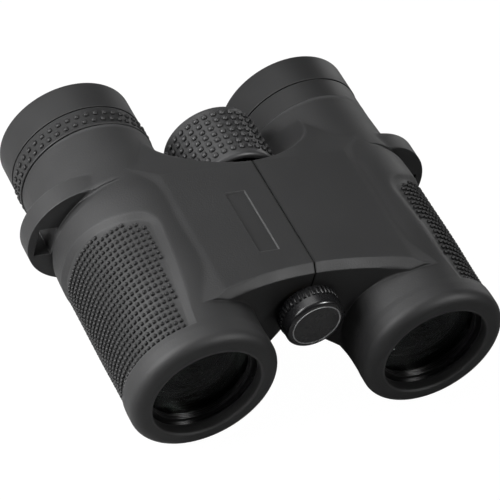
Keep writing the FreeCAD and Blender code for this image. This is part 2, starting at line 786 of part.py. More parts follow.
def housing(name, side):
    body = subpart(f"{name}_housing", barrel_x(side))
    tube = [("0", HOUSING_FRONT), ("housing_radius", HOUSING_FRONT),
            ("housing_radius", "housing_rear"), ("0", "housing_rear")]
    turn(body, polygon(body, f"{name}_housing_tube", "XY_Plane", tube))

    # The inner floor's line meets the fold plane at this distance.
    lift = "(under_inner_z + under_skin + fit_gap)"
    gap = "2 * seam_gap"
    meet = (f"((hinge_rise + {gap} / {HINGE_TAN} - {lift} + {UNDER_SLOPE} * {UNDER_X})"
            f" / ({UNDER_SLOPE} + 1 / {HINGE_TAN}))")
    block = [
        (outward(side, gap), f"{DECK_TOP} - deck_skin - fit_gap"),
        (outward(side, "axis_spacing / 2 - housing_shoulder - fit_gap"), f"{DECK_TOP} - deck_skin - fit_gap"),
        (outward(side, "axis_spacing / 2 - fit_gap"), "housing_radius / 2"),
        (outward(side, "axis_spacing / 2 - fit_gap"), "-housing_radius / 2"),
        (outward(side, "under_outer_x"), under_line("under_outer_x", "fit_gap")),
        (outward(side, meet), under_line(meet, "fit_gap")),
        (outward(side, gap), "hinge_rise"),
    ]
    front, rear = f"({BRIDGE_FRONT} + fit_gap)", f"({BRIDGE_REAR} - fit_gap)"
    sketch = polygon(body, f"{name}_housing_bridge", "XZ_Plane", block, across(front))
    extrude(body, sketch, f"{rear} - {front}")

    knuckles = {
        "right": ("knuckle_front", "knuckle_rear - knuckle_length"),
        "left": (f"knuckle_front + {KNUCKLE_STEP}", LEFT_REAR_KNUCKLE),
    }[name]
    spans = {
        "right": [("knuckle_front + knuckle_length", "knuckle_rear - knuckle_length")],
        "left": [
            (f"{front} - overcut", knuckles[0]),
            (f"{knuckles[0]} + knuckle_length", knuckles[1]),
            (f"{knuckles[1]} + knuckle_length", f"{rear} + overcut"),
        ],
    }[name]
    for index, start in enumerate(knuckles):
        title = f"{name}_knuckle_{index}"
        ring = circle(body, title, "XZ_Plane", hinge_point(side), "knuckle_radius", across(start))
        extrude(body, ring, "knuckle_length")
    for index, (start, end) in enumerate(spans):
        title = f"{name}_knuckle_room_{index}"
        hinge_hole(body, side, title, "knuckle_radius + part_gap", start, end)
    hinge_hole(body, side, f"{name}_hinge_bore", "hinge_tube_radius + running_gap",
               f"{front} - overcut", f"{rear} + overcut")

    bore = [
        ("0", "0"),
        ("cell_bore", "0"),
        ("cell_bore", FOCUS_BORE_FRONT),
        ("focus_bore", FOCUS_BORE_FRONT),
        ("focus_bore", "chamber_front"),
        ("chamber_bore", "chamber_front"),
        ("chamber_bore", "housing_rear + overcut"),
        ("0", "housing_rear + overcut"),
    ]
    turn(body, polygon(body, f"{name}_housing_bore", "XY_Plane", bore), "Groove")

    reach = "(arm_thickness / 2 + focus_travel + part_gap)"
    hinge_hole(body, side, f"{name}_fork_room", "fork_radius + part_gap",
               f"carriage_y - {reach}", f"carriage_y + {reach}")
    near, far = "knuckle_radius - 2 * part_gap", f"{ARM_LENGTH} - focus_bore + overlap"
    half = "(arm_width / 2 + part_gap)"
    corners = []
    for along, out in ((near, f"-{half}"), (far, f"-{half}"), (far, half), (near, half)):
        x = f"({along}) * {side} * (axis_spacing / 2) + ({out}) * hinge_rise"
        z = f"-({along}) * hinge_rise + ({out}) * {side} * (axis_spacing / 2)"
        corners.append((f"{hinge_point(side)[0]} + ({x}) / {ARM_LENGTH}",
                        f"hinge_rise + ({z}) / {ARM_LENGTH}"))
    channel = polygon(body, f"{name}_arm_channel", "XZ_Plane", corners, across(f"carriage_y - {reach}"))
    extrude(body, channel, f"2 * {reach}", "Pocket")
    return body


# ------------------------------------------------------------- objective

def objective(name, side):
    x = barrel_x(side)
    front, rear = "lip_depth + fit_gap", "lip_depth + cell_length"
    lens_front = "front_lens_y"
    lens_rear = "(front_lens_y + front_lens_edge + rear_lens_edge)"
    groove = "(seal_thickness / 2 + fit_gap)"
    lathe(f"{name}_objective_cell", x, "0", [
        ("clamp_ring_radius + fit_gap", front),
        ("cell_bore - fit_gap", front),
        ("cell_bore - fit_gap", f"seal_y - {groove}"),
        ("cell_bore - fit_gap - seal_thickness", f"seal_y - {groove}"),
        ("cell_bore - fit_gap - seal_thickness", f"seal_y + {groove}"),
        ("cell_bore - fit_gap", f"seal_y + {groove}"),
        ("cell_bore - fit_gap", rear),
        ("cell_stop_bore", rear),
        ("cell_stop_bore", f"{lens_rear} + fit_gap"),
        ("lens_radius + fit_gap", f"{lens_rear} + fit_gap"),
        ("lens_radius + fit_gap", f"{lens_front} - fit_gap"),
        ("clamp_ring_radius + fit_gap", f"{lens_front} - fit_gap"),
    ])
    sleeve(f"{name}_clamp_ring", x, "0", "clamp_ring_bore", "clamp_ring_radius",
           f"{lens_front} - clamp_ring_length - part_gap", f"{lens_front} - part_gap")
    lens(f"{name}_front_lens", x, "0", "lens_radius", lens_front, "front_lens_edge",
         "front_bulge", "cement_bulge")
    lens(f"{name}_rear_lens", x, "0", "lens_radius", f"{lens_front} + front_lens_edge",
         "rear_lens_edge", "-cement_bulge", "0")


def focusing_lens(name, side):
    x = barrel_x(side)
    front, rear = "(carriage_y - focus_cell_length / 2)", "(carriage_y + focus_cell_length / 2)"
    seat = "(carriage_y + focus_lens_edge / 2 + fit_gap)"
    body, turned = lathe(f"{name}_focus_cell", x, "0", [
        ("focus_lens_radius + fit_gap", front),
        ("focus_bore - running_gap", front),
        ("focus_bore - running_gap", rear),
        ("focus_lens_radius - focus_cell_lip", rear),
        ("focus_lens_radius - focus_cell_lip", seat),
        ("focus_lens_radius + fit_gap", seat),
    ])
    half = "(arm_width / 2 + fit_gap)"
    thick = "(arm_thickness + 2 * fit_gap)"
    inner, outer = "arm_seat - fit_gap", "focus_bore + overlap"
    corners = []
    for along, out in ((inner, f"-{half}"), (outer, f"-{half}"), (outer, half), (inner, half)):
        u = f"-({along}) * {side} * (axis_spacing / 2) + ({out}) * hinge_rise"
        v = f"({along}) * hinge_rise + ({out}) * {side} * (axis_spacing / 2)"
        corners.append((f"({u}) / {ARM_LENGTH}", f"({v}) / {ARM_LENGTH}"))
    socket = polygon(body, f"{name}_arm_socket", "XZ_Plane", corners, across(f"carriage_y - {thick} / 2"))
    extrude(body, socket, thick, "Pocket")
    lens(f"{name}_focus_lens", x, "0", "focus_lens_radius", "carriage_y - focus_lens_edge / 2",
         "focus_lens_edge", "-focus_hollow", "-focus_hollow")


def focus_arm(name, side):
    """A fork on the carriage's groove and a bar to the lens cell.

    Its own x axis runs from the hinge to the barrel's optical axis.
    """
    body = subpart(f"{name}_focus_arm", "0", "hinge_rise")
    tilt = "atan(2 * hinge_rise / axis_spacing)"
    turned = tilt if side > 0 else f"180 deg - {tilt}"
    body.Placement = Placement(body.Placement.Base, Rotation(Vector(0, 1, 0), number(turned)))
    body.setExpression("Placement.Rotation.Angle", bound(turned))
    front = "carriage_y - arm_thickness / 2"
    ring = circle(body, f"{name}_fork", "XZ_Plane", ("0", "0"), "fork_radius", across(front))
    extrude(body, ring, "arm_thickness")
    reach = "(2 * fork_radius)"
    mouth = [
        ("0", "0"),
        (f"{reach} * cos(fork_half_angle)", f"{reach} * sin(fork_half_angle)"),
        (f"-{reach}", f"{reach}"),
        (f"-{reach}", f"-{reach}"),
        (f"{reach} * cos(fork_half_angle)", f"-{reach} * sin(fork_half_angle)"),
    ]
    opening = polygon(body, f"{name}_fork_mouth", "XZ_Plane", mouth, across(f"{front} - overcut"))
    extrude(body, opening, "arm_thickness + 2 * overcut", "Pocket")
    start, end = "fork_radius - overlap", f"{ARM_LENGTH} - arm_seat"
    half = "arm_width / 2"
    bar = [(start, f"-{half}"), (end, f"-{half}"), (end, half), (start, half)]
    strip = polygon(body, f"{name}_arm_bar", "XZ_Plane", bar, across(front))
    extrude(body, strip, "arm_thickness")
    throat = circle(body, f"{name}_fork_throat", "XZ_Plane", ("0", "0"),
                    "carriage_floor + running_gap", across(f"{front} - overcut"))
    extrude(body, throat, "arm_thickness + 2 * overcut", "Pocket")


# ---------------------------------------------------------------- prisms

def prism(label, x, corners):
    """Pad a side outline drawn in y and z across the barrel."""
    body = subpart(label, x)
    sketch = polygon(body, f"{label}_outline", "YZ_Plane", corners, ("0", "0", "-prism_width / 2 + fit_gap"))
    pad = body.newObject("PartDesign::Pad", f"{label}_pad")
    pad.Profile = sketch
    pad.Type = 0
    pad.setExpression("Length", bound("prism_width - 2 * fit_gap"))
    return body, pad


def prisms(name, side):
    x = barrel_x(side)
    front = "(chamber_front + 2 * fit_gap)"
    body, turned = lathe(f"{name}_prism_cage", x, "0", [
        ("0", front),
        ("chamber_bore - fit_gap", front),
        ("chamber_bore - fit_gap", f"{front} + cage_length"),
        ("0", f"{front} + cage_length"),
    ])
    wide, high = "prism_width / 2", "prism_height / 2"
    pocket = [(f"-{wide}", f"-{high}"), (wide, f"-{high}"), (wide, high), (f"-{wide}", high)]
    window = polygon(body, f"{name}_prism_pocket", "XZ_Plane", pocket, across(f"{front} - overcut"))
    extrude(body, window, "cage_length + 2 * overcut", "Pocket")

    # Half-penta prism: a square end, a 45 degree face and a 22.5 degree face.
    start = f"({front} + prism_end_gap)"
    low, high = "-prism_aperture / 2", "prism_aperture / 2"
    slope = "tan(penta_half_angle)"
    cut = f"((prism_aperture + prism_run * ({slope} - 1)) / (1 + {slope}))"
    prism(f"{name}_half_penta_prism", x, [
        (start, low),
        (f"{start} + prism_run", f"{low} + prism_run"),
        (f"{start} + prism_run - {cut}", f"{low} + prism_run + {cut}"),
        (start, high),
    ])
    # Roof prism: its 45 degree face lies beside the first one's.
    exit_y = f"({start} + prism_run + prism_step)"
    exit_z = f"({low} + prism_run + prism_step - prism_gap * sqrt(2))"
    body, pad = prism(f"{name}_roof_prism", x, [
        (exit_y, exit_z),
        (f"{exit_y} - roof_side / sqrt(2)", f"{exit_z} - roof_side / sqrt(2)"),
        (exit_y, f"{exit_z} - roof_side"),
    ])


# ---------------------------------------------------------------- ocular

def ocular(name, side):
    x = barrel_x(side)
    spigot = "(housing_rear - spigot_depth)"
    body, turned = lathe(f"{name}_ocular_tube", x, "0", [
        ("ocular_bore", spigot),
        ("chamber_bore - fit_gap", spigot),
        ("chamber_bore - fit_gap", "housing_rear + fit_gap"),
        ("ocular_neck", "housing_rear + fit_gap"),
        ("ocular_neck", NECK_END),
        ("ring_seat", NECK_END),
        ("ring_seat", f"{RING_REAR} + running_gap"),
        ("sleeve_seat", f"{RING_REAR} + running_gap"),
        ("sleeve_seat", OCULAR_END),
        ("ocular_bore", OCULAR_END),
    ])
    ring_middle = f"(({RING_FRONT} + {RING_REAR}) / 2)"
    if name == "right":
        slot = "(2 * pin_radius + 2 * part_gap)"
        reach = "ring_radius"
        sweep = "(diopter_half_angle + drive_slot_margin)"
        for index, hand in enumerate(("", "-")):
            wedge = [
                ("0", "0"),
                (f"{reach} * sin({sweep})", f"{hand}{reach} * cos({sweep})"),
                (f"{reach}", f"{hand}2 * {reach}"),
                (f"-{reach}", f"{hand}2 * {reach}"),
                (f"-{reach} * sin({sweep})", f"{hand}{reach} * cos({sweep})"),
            ]
            title = f"right_drive_slot_{index}"
            cut = polygon(body, title, "XZ_Plane", wedge, across(f"{ring_middle} - {slot} / 2"))
            extrude(body, cut, slot, "Pocket")

    label = "diopter_ring" if name == "right" else "left_ocular_collar"
    ring_body, ring = sleeve(label, x, "0", "ring_seat + running_gap", "ring_radius",
                             RING_FRONT, RING_REAR)
    if name == "right":
        for index, edge in enumerate(("", "-")):
            pin = circle(ring_body, f"diopter_drive_pin_{index}", "XY_Plane", ("0", ring_middle),
                         "pin_radius", ("0", "0", f"{edge}(ocular_bore - drive_pin_reach)"))
            pad = ring_body.newObject("PartDesign::Pad", f"diopter_drive_pin_pad_{index}")
            pad.Profile = pin
            pad.Type = 0
            pad.Reversed = edge == "-"
            pad.setExpression("Length", bound("ring_seat - ocular_bore + drive_pin_reach + drive_pin_root"))

    cell = "(ocular_bore - running_gap)"
    stop = "(field_lens_radius - lens_stop)"
    cell_front = "(housing_rear + ocular_cell_rise)"
    cell_rear = "(overall_length - ocular_cell_depth)"
    field_front = "(housing_rear + field_lens_rise)"
    field_rear = f"({field_front} + field_lens_edge)"
    eye_front = "(overall_length - eye_lens_depth)"
    eye_rear = f"({eye_front} + eye_lens_edge)"
    # The ring's pins stay in the groove over the whole diopter travel.
    half_groove = "(pin_radius + diopter_travel + 2 * fit_gap)"
    groove_front = f"({ring_middle} - {half_groove})"
    groove_rear = f"({ring_middle} + {half_groove})"
    groove_floor = "(ocular_bore - drive_groove_depth)"
    profile = [
        ("field_lens_radius + fit_gap", cell_front),
        (cell, cell_front),
        (cell, groove_front),
        (groove_floor, groove_front),
        (groove_floor, groove_rear),
        (cell, groove_rear),
        (cell, cell_rear),
        ("eye_lens_radius + lens_stop", cell_rear),
        ("eye_lens_radius + lens_stop", f"{eye_rear} + fit_gap"),
        ("eye_lens_radius + fit_gap", f"{eye_rear} + fit_gap"),
        ("eye_lens_radius + fit_gap", f"{eye_front} - fit_gap"),
        ("eye_lens_radius - lens_stop", f"{eye_front} - fit_gap"),
        (stop, f"({field_rear} + {eye_front}) / 2"),
        (stop, f"{field_rear} + fit_gap"),
        ("field_lens_radius + fit_gap", f"{field_rear} + fit_gap"),
    ]
    lathe(f"{name}_ocular_cell", x, "0", profile)
    lens(f"{name}_field_lens", x, "0", "field_lens_radius", field_front, "field_lens_edge",
         "field_bulge", "0")
    lens(f"{name}_eye_lens", x, "0", "eye_lens_radius", eye_front, "eye_lens_edge",
         "0", "eye_bulge")
    sleeve(f"{name}_eye_ring", x, "0", "eye_ring_bore", "eye_lens_radius + lens_stop - fit_gap",
           f"{eye_rear} + part_gap", f"{eye_rear} + part_gap + eye_ring_length")


def eyecup(name, side):
    x = barrel_x(side)
    inner = "sleeve_seat + running_gap"
    outer = "sleeve_seat + running_gap + sleeve_wall"
    sleeve(f"{name}_eyecup_sleeve", x, "0", inner, outer, f"{EYECUP_FRONT} + part_gap", OCULAR_END)
    rim = "(overall_length - eyecup_rim)"
    body, turned = lathe(f"{name}_eyecup", x, "0", [
        (f"{outer} + running_gap", EYECUP_FRONT),
        ("eyecup_radius", EYECUP_FRONT),
        ("eyecup_radius", "overall_length"),
        ("eyecup_mouth", "overall_length"),
        ("eyecup_mouth", rim),
        (f"{outer} + running_gap", rim),
    ])
    round_rims(body, turned, "eyecup_round", [("eyecup_radius", "overall_length")])


def seals(name, side):
    """The rubber ring in the objective cell's groove."""
    sleeve(f"{name}_objective_seal", barrel_x(side), "0", "cell_bore - fit_gap - seal_thickness",
           "cell_bore - fit_gap", "seal_y - seal_thickness / 2", "seal_y + seal_thickness / 2")


# ---------------------------------------------------------------- centre

def hinge():
    z = "hinge_rise"
    tube_front = "knuckle_front"
    body, turned = sleeve("hinge_tube", "0", z, "hinge_tube_bore", "hinge_tube_radius",
                          tube_front, "hinge_tube_end")
    width = "(pin_radius + fit_gap)"
    reach = "(focus_travel + pin_radius + fit_gap)"
    slot = [
        (f"-{width}", f"carriage_y - {reach}"),
        (width, f"carriage_y - {reach}"),
        (width, f"carriage_y + {reach}"),
        (f"-{width}", f"carriage_y + {reach}"),
    ]
    sketch = polygon(body, "carriage_slots", "XY_Plane", slot, ("0", "0", "-carriage_radius"))
    cut = body.newObject("PartDesign::Pocket", "carriage_slots_cut")
    cut.Profile = sketch
    cut.Type = 0
    cut.Reversed = True
    cut.setExpression("Length", bound("2 * carriage_radius"))

    washers = subpart("hinge_washers", "0", z)
    washers.AllowCompound = True
    starts = (
        "knuckle_front + knuckle_length + washer_play",
        "knuckle_rear - knuckle_length - washer_thickness - washer_play",
    )
    for index, start in enumerate(starts):
        ring = [
            ("hinge_tube_radius + fit_gap", start),
            ("knuckle_radius", start),
            ("knuckle_radius", f"{start} + washer_thickness"),
            ("hinge_tube_radius + fit_gap", f"{start} + washer_thickness"),
        ]
        turn(washers, polygon(washers, f"hinge_washer_{index}", "XY_Plane", ring))


def tripod_socket():
    z = "hinge_rise"
    root = BRIDGE_FRONT
    lathe("tripod_bush", "0", z, [
        ("0", "bush_front + socket_depth"),
        ("socket_radius", "bush_front + socket_depth"),
        ("socket_radius", "bush_front"),
        ("bush_radius", "bush_front"),
        ("bush_radius", root),
        ("hinge_tube_bore - fit_gap", root),
        ("hinge_tube_bore - fit_gap", "knuckle_front + spigot_length"),
        ("0", "knuckle_front + spigot_length"),
    ])
    skirt = "bush_radius + running_gap"
    roof = "bush_front - part_gap"
    grip_front = "cap_rear - cap_grip_length"
    body, turned = lathe("socket_cap", "0", z, [
        ("0", "cap_front + inlay_depth"),
        ("inlay_radius + fit_gap", "cap_front + inlay_depth"),
        ("inlay_radius + fit_gap", "cap_front"),
        ("cap_radius", "cap_front"),
        ("cap_radius", grip_front),
        ("cap_grip_radius", grip_front),
        ("cap_grip_radius", "cap_rear"),
        (skirt, "cap_rear"),
        (skirt, roof),
        ("0", roof),
    ])
    round_rims(body, turned, "cap_round", [("cap_radius", "cap_front")])
    lathe("cap_inlay", "0", z, [
        ("0", "cap_front"),
        ("inlay_radius", "cap_front"),
        ("inlay_radius", "cap_front + inlay_depth - fit_gap"),
        ("0", "cap_front + inlay_depth - fit_gap"),
    ])


def focus_drive():
    z = "hinge_rise"
    half = "carriage_length / 2"
    front, rear = f"(carriage_y - {half})", f"(carriage_y + {half})"
    slot_front, slot_rear = "(carriage_y - carriage_slot / 2)", "(carriage_y + carriage_slot / 2)"
    carriage, turned = lathe("focus_carriage", "0", z, [
        ("hinge_tube_radius + running_gap", front),
        ("carriage_radius", front),
        ("carriage_radius", slot_front),
        ("carriage_floor", slot_front),
        ("carriage_floor", slot_rear),
        ("carriage_radius", slot_rear),
        ("carriage_radius", rear),
        ("hinge_tube_radius + running_gap", rear),
    ])
    nut, turned = sleeve("focus_nut", "0", z, "spindle_radius + running_gap", "nut_radius", front, rear)
    for body in (carriage, nut):
        hole = circle(body, f"{body.Name}_pin_hole", "XY_Plane", ("0", "carriage_y"),
                      "pin_radius + fit_gap", ("0", "0", "-carriage_radius"))
        cut = body.newObject("PartDesign::Pocket", f"{body.Name}_pin_hole_cut")
        cut.Profile = hole
        cut.Type = 0
        cut.Reversed = True
        cut.setExpression("Length", bound("2 * carriage_radius"))

    pins = subpart("carriage_pins", "0", z)
    pins.AllowCompound = True
    start, end = "(spindle_radius + 2 * fit_gap)", "(carriage_floor - fit_gap)"
    for index, hand in enumerate(("", "-")):
        pin = circle(pins, f"carriage_pin_{index}", "XY_Plane", ("0", "carriage_y"),
                     "pin_radius", ("0", "0", f"{hand}{start}"))
        pad = pins.newObject("PartDesign::Pad", f"carriage_pin_pad_{index}")
        pad.Profile = pin
        pad.Type = 0
        pad.Reversed = hand == "-"
        pad.setExpression("Length", bound(f"{end} - {start}"))

    sleeve("focus_spindle", "0", z, "0", "spindle_radius", "spindle_front",
           "hub_web_front + hub_web")
    hub_outer = "wheel_radius - tyre_wall - fit_gap"
    hub_inner = f"{hub_outer} - hub_rim"
    hub_front, hub_rear = "wheel_front + wheel_round", "wheel_rear - wheel_round / 2"
    web_rear = "hub_web_front + hub_web"
    lathe("wheel_hub", "0", z, [
        ("hinge_tube_radius + running_gap", hub_front),
        ("hub_boss", hub_front),
        ("hub_boss", "hub_web_front"),
        (hub_inner, "hub_web_front"),
        (hub_inner, hub_front),
        (hub_outer, hub_front),
        (hub_outer, hub_rear),
        (hub_inner, hub_rear),
        (hub_inner, web_rear),
        ("spindle_radius + fit_gap", web_rear),
        ("spindle_radius + fit_gap", "hub_web_front - fit_gap"),
        ("hinge_tube_radius + running_gap", "hub_web_front - fit_gap"),
    ])
    body, tyre = sleeve("wheel_tyre", "0", z, "wheel_radius - tyre_wall", "wheel_radius",
                        "wheel_front", "wheel_rear")
    rims = [("wheel_radius", "wheel_front"), ("wheel_radius", "wheel_rear")]
    round_rims(body, tyre, "wheel_round", rims)
    sleeve("wheel_end_cap", "0", z, "0", f"{hub_inner} - fit_gap", f"{web_rear} + fit_gap",
           f"{web_rear} + fit_gap + end_cap_thickness")


# -------------------------------------------------------------- assembly

for side_name, side_sign in SIDES.items():
    armour(side_name, side_sign)
    housing(side_name, side_sign)
    objective(side_name, side_sign)
    focusing_lens(side_name, side_sign)
    focus_arm(side_name, side_sign)
    prisms(side_name, side_sign)
    ocular(side_name, side_sign)
    eyecup(side_name, side_sign)
    seals(side_name, side_sign)
hinge()
tripod_socket()
focus_drive()
doc.recompute()

faults = []
for thing in doc.Objects:
    if {"Invalid", "Error"} & set(thing.State):
        faults.append(f"{thing.Label} {thing.State}")
for part in SUBPARTS:
    if part.Shape.isNull() or not part.Shape.isValid():
        faults.append(f"{part.Label} has no valid shape")
if faults:
    raise RuntimeError("; ".join(faults))

os.makedirs("parts", exist_ok=True)
for part in SUBPARTS:
    part.Shape.exportStep(f"parts/{part.Label}.step")
    print(part.Label, round(part.Shape.Volume, 1), len(part.Shape.Solids))
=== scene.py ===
"""Looks of a compact pair of roof-prism binoculars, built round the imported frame.

+X runs across the barrels, the objectives face -Y and +Z is up. The user
looks along -Y, so the user's right barrel is the one on -X. All lengths are
in metres.
"""

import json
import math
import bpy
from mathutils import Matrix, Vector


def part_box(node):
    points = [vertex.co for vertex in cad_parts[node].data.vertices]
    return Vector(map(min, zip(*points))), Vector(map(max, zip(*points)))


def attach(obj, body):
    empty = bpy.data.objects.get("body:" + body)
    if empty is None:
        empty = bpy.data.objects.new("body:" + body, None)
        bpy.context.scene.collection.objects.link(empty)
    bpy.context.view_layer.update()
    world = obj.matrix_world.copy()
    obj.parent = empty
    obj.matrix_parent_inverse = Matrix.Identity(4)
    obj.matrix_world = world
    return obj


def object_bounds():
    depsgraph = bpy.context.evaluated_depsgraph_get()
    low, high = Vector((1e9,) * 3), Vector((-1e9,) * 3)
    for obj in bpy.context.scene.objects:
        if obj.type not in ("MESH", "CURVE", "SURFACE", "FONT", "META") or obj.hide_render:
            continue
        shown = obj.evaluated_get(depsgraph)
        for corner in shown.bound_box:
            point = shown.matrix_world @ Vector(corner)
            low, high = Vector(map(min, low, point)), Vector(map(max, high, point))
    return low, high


bl_info = {
    "name": "Compact binoculars",
    "version": (1, 0, 0),
    "blender": (4, 5, 0),
    "location": "View3D > Sidebar > Binoculars",
    "description": "Studs, knurls, finishes and a studio for a folding pair of binoculars",
    "category": "Object",
}

import bpy
from bpy.props import FloatProperty, FloatVectorProperty, IntProperty
from mathutils import Matrix, Vector
from mathutils.bvhtree import BVHTree

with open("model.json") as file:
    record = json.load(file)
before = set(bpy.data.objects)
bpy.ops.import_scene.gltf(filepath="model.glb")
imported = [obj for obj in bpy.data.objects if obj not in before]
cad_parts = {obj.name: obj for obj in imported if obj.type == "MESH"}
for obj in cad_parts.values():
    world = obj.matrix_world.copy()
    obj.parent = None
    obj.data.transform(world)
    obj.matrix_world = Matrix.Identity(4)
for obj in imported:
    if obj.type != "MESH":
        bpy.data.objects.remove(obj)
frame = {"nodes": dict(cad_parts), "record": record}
CAD_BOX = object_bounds()
MM = 0.001

SIDES = {"right": -1, "left": 1}    # the user's right and left barrel, and their sign along X


def node_middle(node):
    """Middle of a node's box at rest."""
    low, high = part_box(node)
    return (low + high) / 2


AXIS = {side: node_middle(f"{side}_ocular_tube") for side in SIDES}
BARREL = {side: f"{side}_barrel" for side in SIDES}
FRONT = CAD_BOX[0].y
ALONG = Vector((0, 1, 0))
FACING = (math.pi / 2, 0, 0)    # turns a primitive so that its axis runs along the barrels
SUNK = 0.05 * MM                # how deep a stud's foot goes into what it stands on

# Where the armour's edges change their rounding, out from the hinge or back from the front.
SHOULDER_STARTS = (19 * MM, 25 * MM)
SHOULDER_ENDS = (49 * MM, 53 * MM)
SHOULDER_FRONT = (FRONT + 13 * MM, FRONT + 18 * MM)
LIP_REAR = (FRONT + 3 * MM, FRONT + 5 * MM)


# ------------------------------------------------------------------ sizes

# Each light: direction from the target, distance and width.
LIGHTS = {
    "key": ((-0.88, 0.03, 0.48), 0.32, 0.26),
    "front": ((0.45, -0.64, 0.6), 0.9, 0.2),
    "fill": ((-0.25, 0.3, 1.0), 0.45, 0.4),
    "rim": ((0.93, 0.5, 0.14), 0.6, 0.3),
}


class StudioSizes(bpy.types.PropertyGroup):
    azimuth: FloatProperty(
        name="Camera azimuth", description="Turn of the camera about the upright axis",
        default=math.radians(-37.13), subtype="ANGLE")
    elevation: FloatProperty(
        name="Camera elevation", description="Height of the camera over the floor",
        default=math.radians(42.05), subtype="ANGLE")
    roll: FloatProperty(
        name="Camera roll", description="Turn of the camera about its own line of sight",
        default=math.radians(17.89), subtype="ANGLE")
    distance: FloatProperty(
        name="Camera distance", description="From the camera to its target",
        default=0.7756, unit="LENGTH")
    focal_length: FloatProperty(
        name="Focal length", description="In millimetres, on a 36 mm sensor", default=186.2)
    target: FloatVectorProperty(
        name="Target", description="Point that the camera looks at",
        default=(0.0071, 0.0065, 0.0123), subtype="XYZ", unit="LENGTH")
    key_power: FloatProperty(
        name="Key light", description="Power of the near light on the left", default=1.5)
    front_power: FloatProperty(
        name="Front light", description="Power of the light before the objectives, for gloss only",
        default=6.0)
    fill_power: FloatProperty(
        name="Fill light", description="Power of the soft light overhead", default=0.95)
    rim_power: FloatProperty(
        name="Rim light", description="Power of the light from behind, on the right", default=0.6)
    world_strength: FloatProperty(
        name="Sky", description="Strength of the plain light all round", default=0.038)
    paper_white: FloatProperty(
        name="Paper white", description="How bright the camera sees the floor", default=1.07)
    paper_share: FloatProperty(
        name="Paper share", description="Share of the floor's own white; the rest takes shadow",
        default=0.93, min=0, max=1)


class RubberColours(bpy.types.PropertyGroup):
    armour: FloatVectorProperty(
        name="Armour", description="Colour of the rubber armour",
        default=(0.022, 0.022, 0.0225), subtype="COLOR", min=0, max=1)
    # the grips take a darker copy of the armour's colour: painted shade among the studs
    studs: FloatVectorProperty(
        name="Studs", description="Colour of the grips, which are worn a little darker",
        default=(0.019, 0.019, 0.0195), subtype="COLOR", min=0, max=1)
    wheel: FloatVectorProperty(
        name="Wheel", description="Colour of the focus wheel's tyre",
        default=(0.045, 0.045, 0.046), subtype="COLOR", min=0, max=1)
    cap: FloatVectorProperty(
        name="Cap", description="Colour of the moulded screw cap",
        default=(0.012, 0.012, 0.013), subtype="COLOR", min=0, max=1)
    ring: FloatVectorProperty(
        name="Ring", description="Colour of the pale ring on the cap's face",
        default=(0.62, 0.62, 0.63), subtype="COLOR", min=0, max=1)


class EdgeSizes(bpy.types.PropertyGroup):
    # these radii also set how wide the painted edge highlight is
    plain: FloatProperty(
        name="Edges", description="Radius that the armour's edges look rounded to",
        default=0.5 * MM, unit="LENGTH")
    shoulder: FloatProperty(
        name="Shoulders", description="The same where the deck runs into the barrels",
        default=2.6 * MM, unit="LENGTH")
    lip: FloatProperty(
        name="Front lips", description="The same at the front openings",
        default=1.5 * MM, unit="LENGTH")
    # the seam's dark line is painted shade
    seam: FloatProperty(
        name="Seam", description="Half the width of the dark line between the deck's halves",
        default=0.5 * MM, unit="LENGTH")


class GripSizes(bpy.types.PropertyGroup):
    pitch_round: FloatProperty(
        name="Pitch round", description="From stud to stud, round the barrel",
        default=1.63 * MM, unit="LENGTH")
    pitch_along: FloatProperty(
        name="Pitch along", description="From stud to stud, along the barrel",
        default=1.98 * MM, unit="LENGTH")
    width: FloatProperty(
        name="Stud width", description="Across a stud at its foot",
        default=1.22 * MM, unit="LENGTH")
    height: FloatProperty(
        name="Stud height", description="From the panel to a stud's top",
        default=0.7 * MM, unit="LENGTH")
    front: FloatProperty(
        name="Panel front", description="From the instrument's front to the panel",
        default=7.8 * MM, unit="LENGTH")
    rear: FloatProperty(
        name="Panel rear",
        description="From the instrument's front to the panel's inner rear corner",
        default=46.8 * MM, unit="LENGTH")
    rear_slope: FloatProperty(
        name="Rear slope", description="Rise of the panel's rear edge on its way outwards",
        default=0.326)
    edge: FloatProperty(
        name="Panel edge", description="From over the barrel's axis to the panel, at the front",
        default=7.4 * MM, unit="LENGTH")
    edge_slope: FloatProperty(
        name="Edge slope", description="Inward run of the panel's edge on its way to the rear",
        default=0.113)
    corner: FloatProperty(
        name="Corner", description="Radius of the panel's inner rear corner",
        default=4.0 * MM, unit="LENGTH")
    margin: FloatProperty(
        name="Margin", description="From the panel's edge to the nearest stud's middle",
        default=0.45 * MM, unit="LENGTH")


class WheelSizes(bpy.types.PropertyGroup):
    lines: IntProperty(
        name="Lines", description="Lines of studs round the wheel", default=32, min=3)
    per_line: IntProperty(
        name="Studs per line", description="Studs from the wheel's front to its rear",
        default=7, min=1)
    pitch: FloatProperty(
        name="Stud pitch", description="From one stud to the next along a line",
        default=2.45 * MM, unit="LENGTH")
    width: FloatProperty(
        name="Stud width", description="Across a stud at its foot",
        default=1.85 * MM, unit="LENGTH")
    height: FloatProperty(
        name="Stud height", description="From the tyre to a stud's top",
        default=0.75 * MM, unit="LENGTH")


class RingSizes(bpy.types.PropertyGroup):
    count: IntProperty(
        name="Studs per row", description="Studs round the diopter ring", default=45, min=3)
    width: FloatProperty(
        name="Stud width", description="Across a stud at its foot",
        default=1.6 * MM, unit="LENGTH")
    height: FloatProperty(
        name="Stud height", description="From the ring to a stud's top",
        default=0.65 * MM, unit="LENGTH")
    row_share: FloatProperty(
        name="Row offset", description="From the ring's middle to a row, as a share of its length",
        default=0.18)
    bead: FloatProperty(
        name="Bead", description="Radius of the raised bead on the ring's front edge",
        default=0.45 * MM, unit="LENGTH")


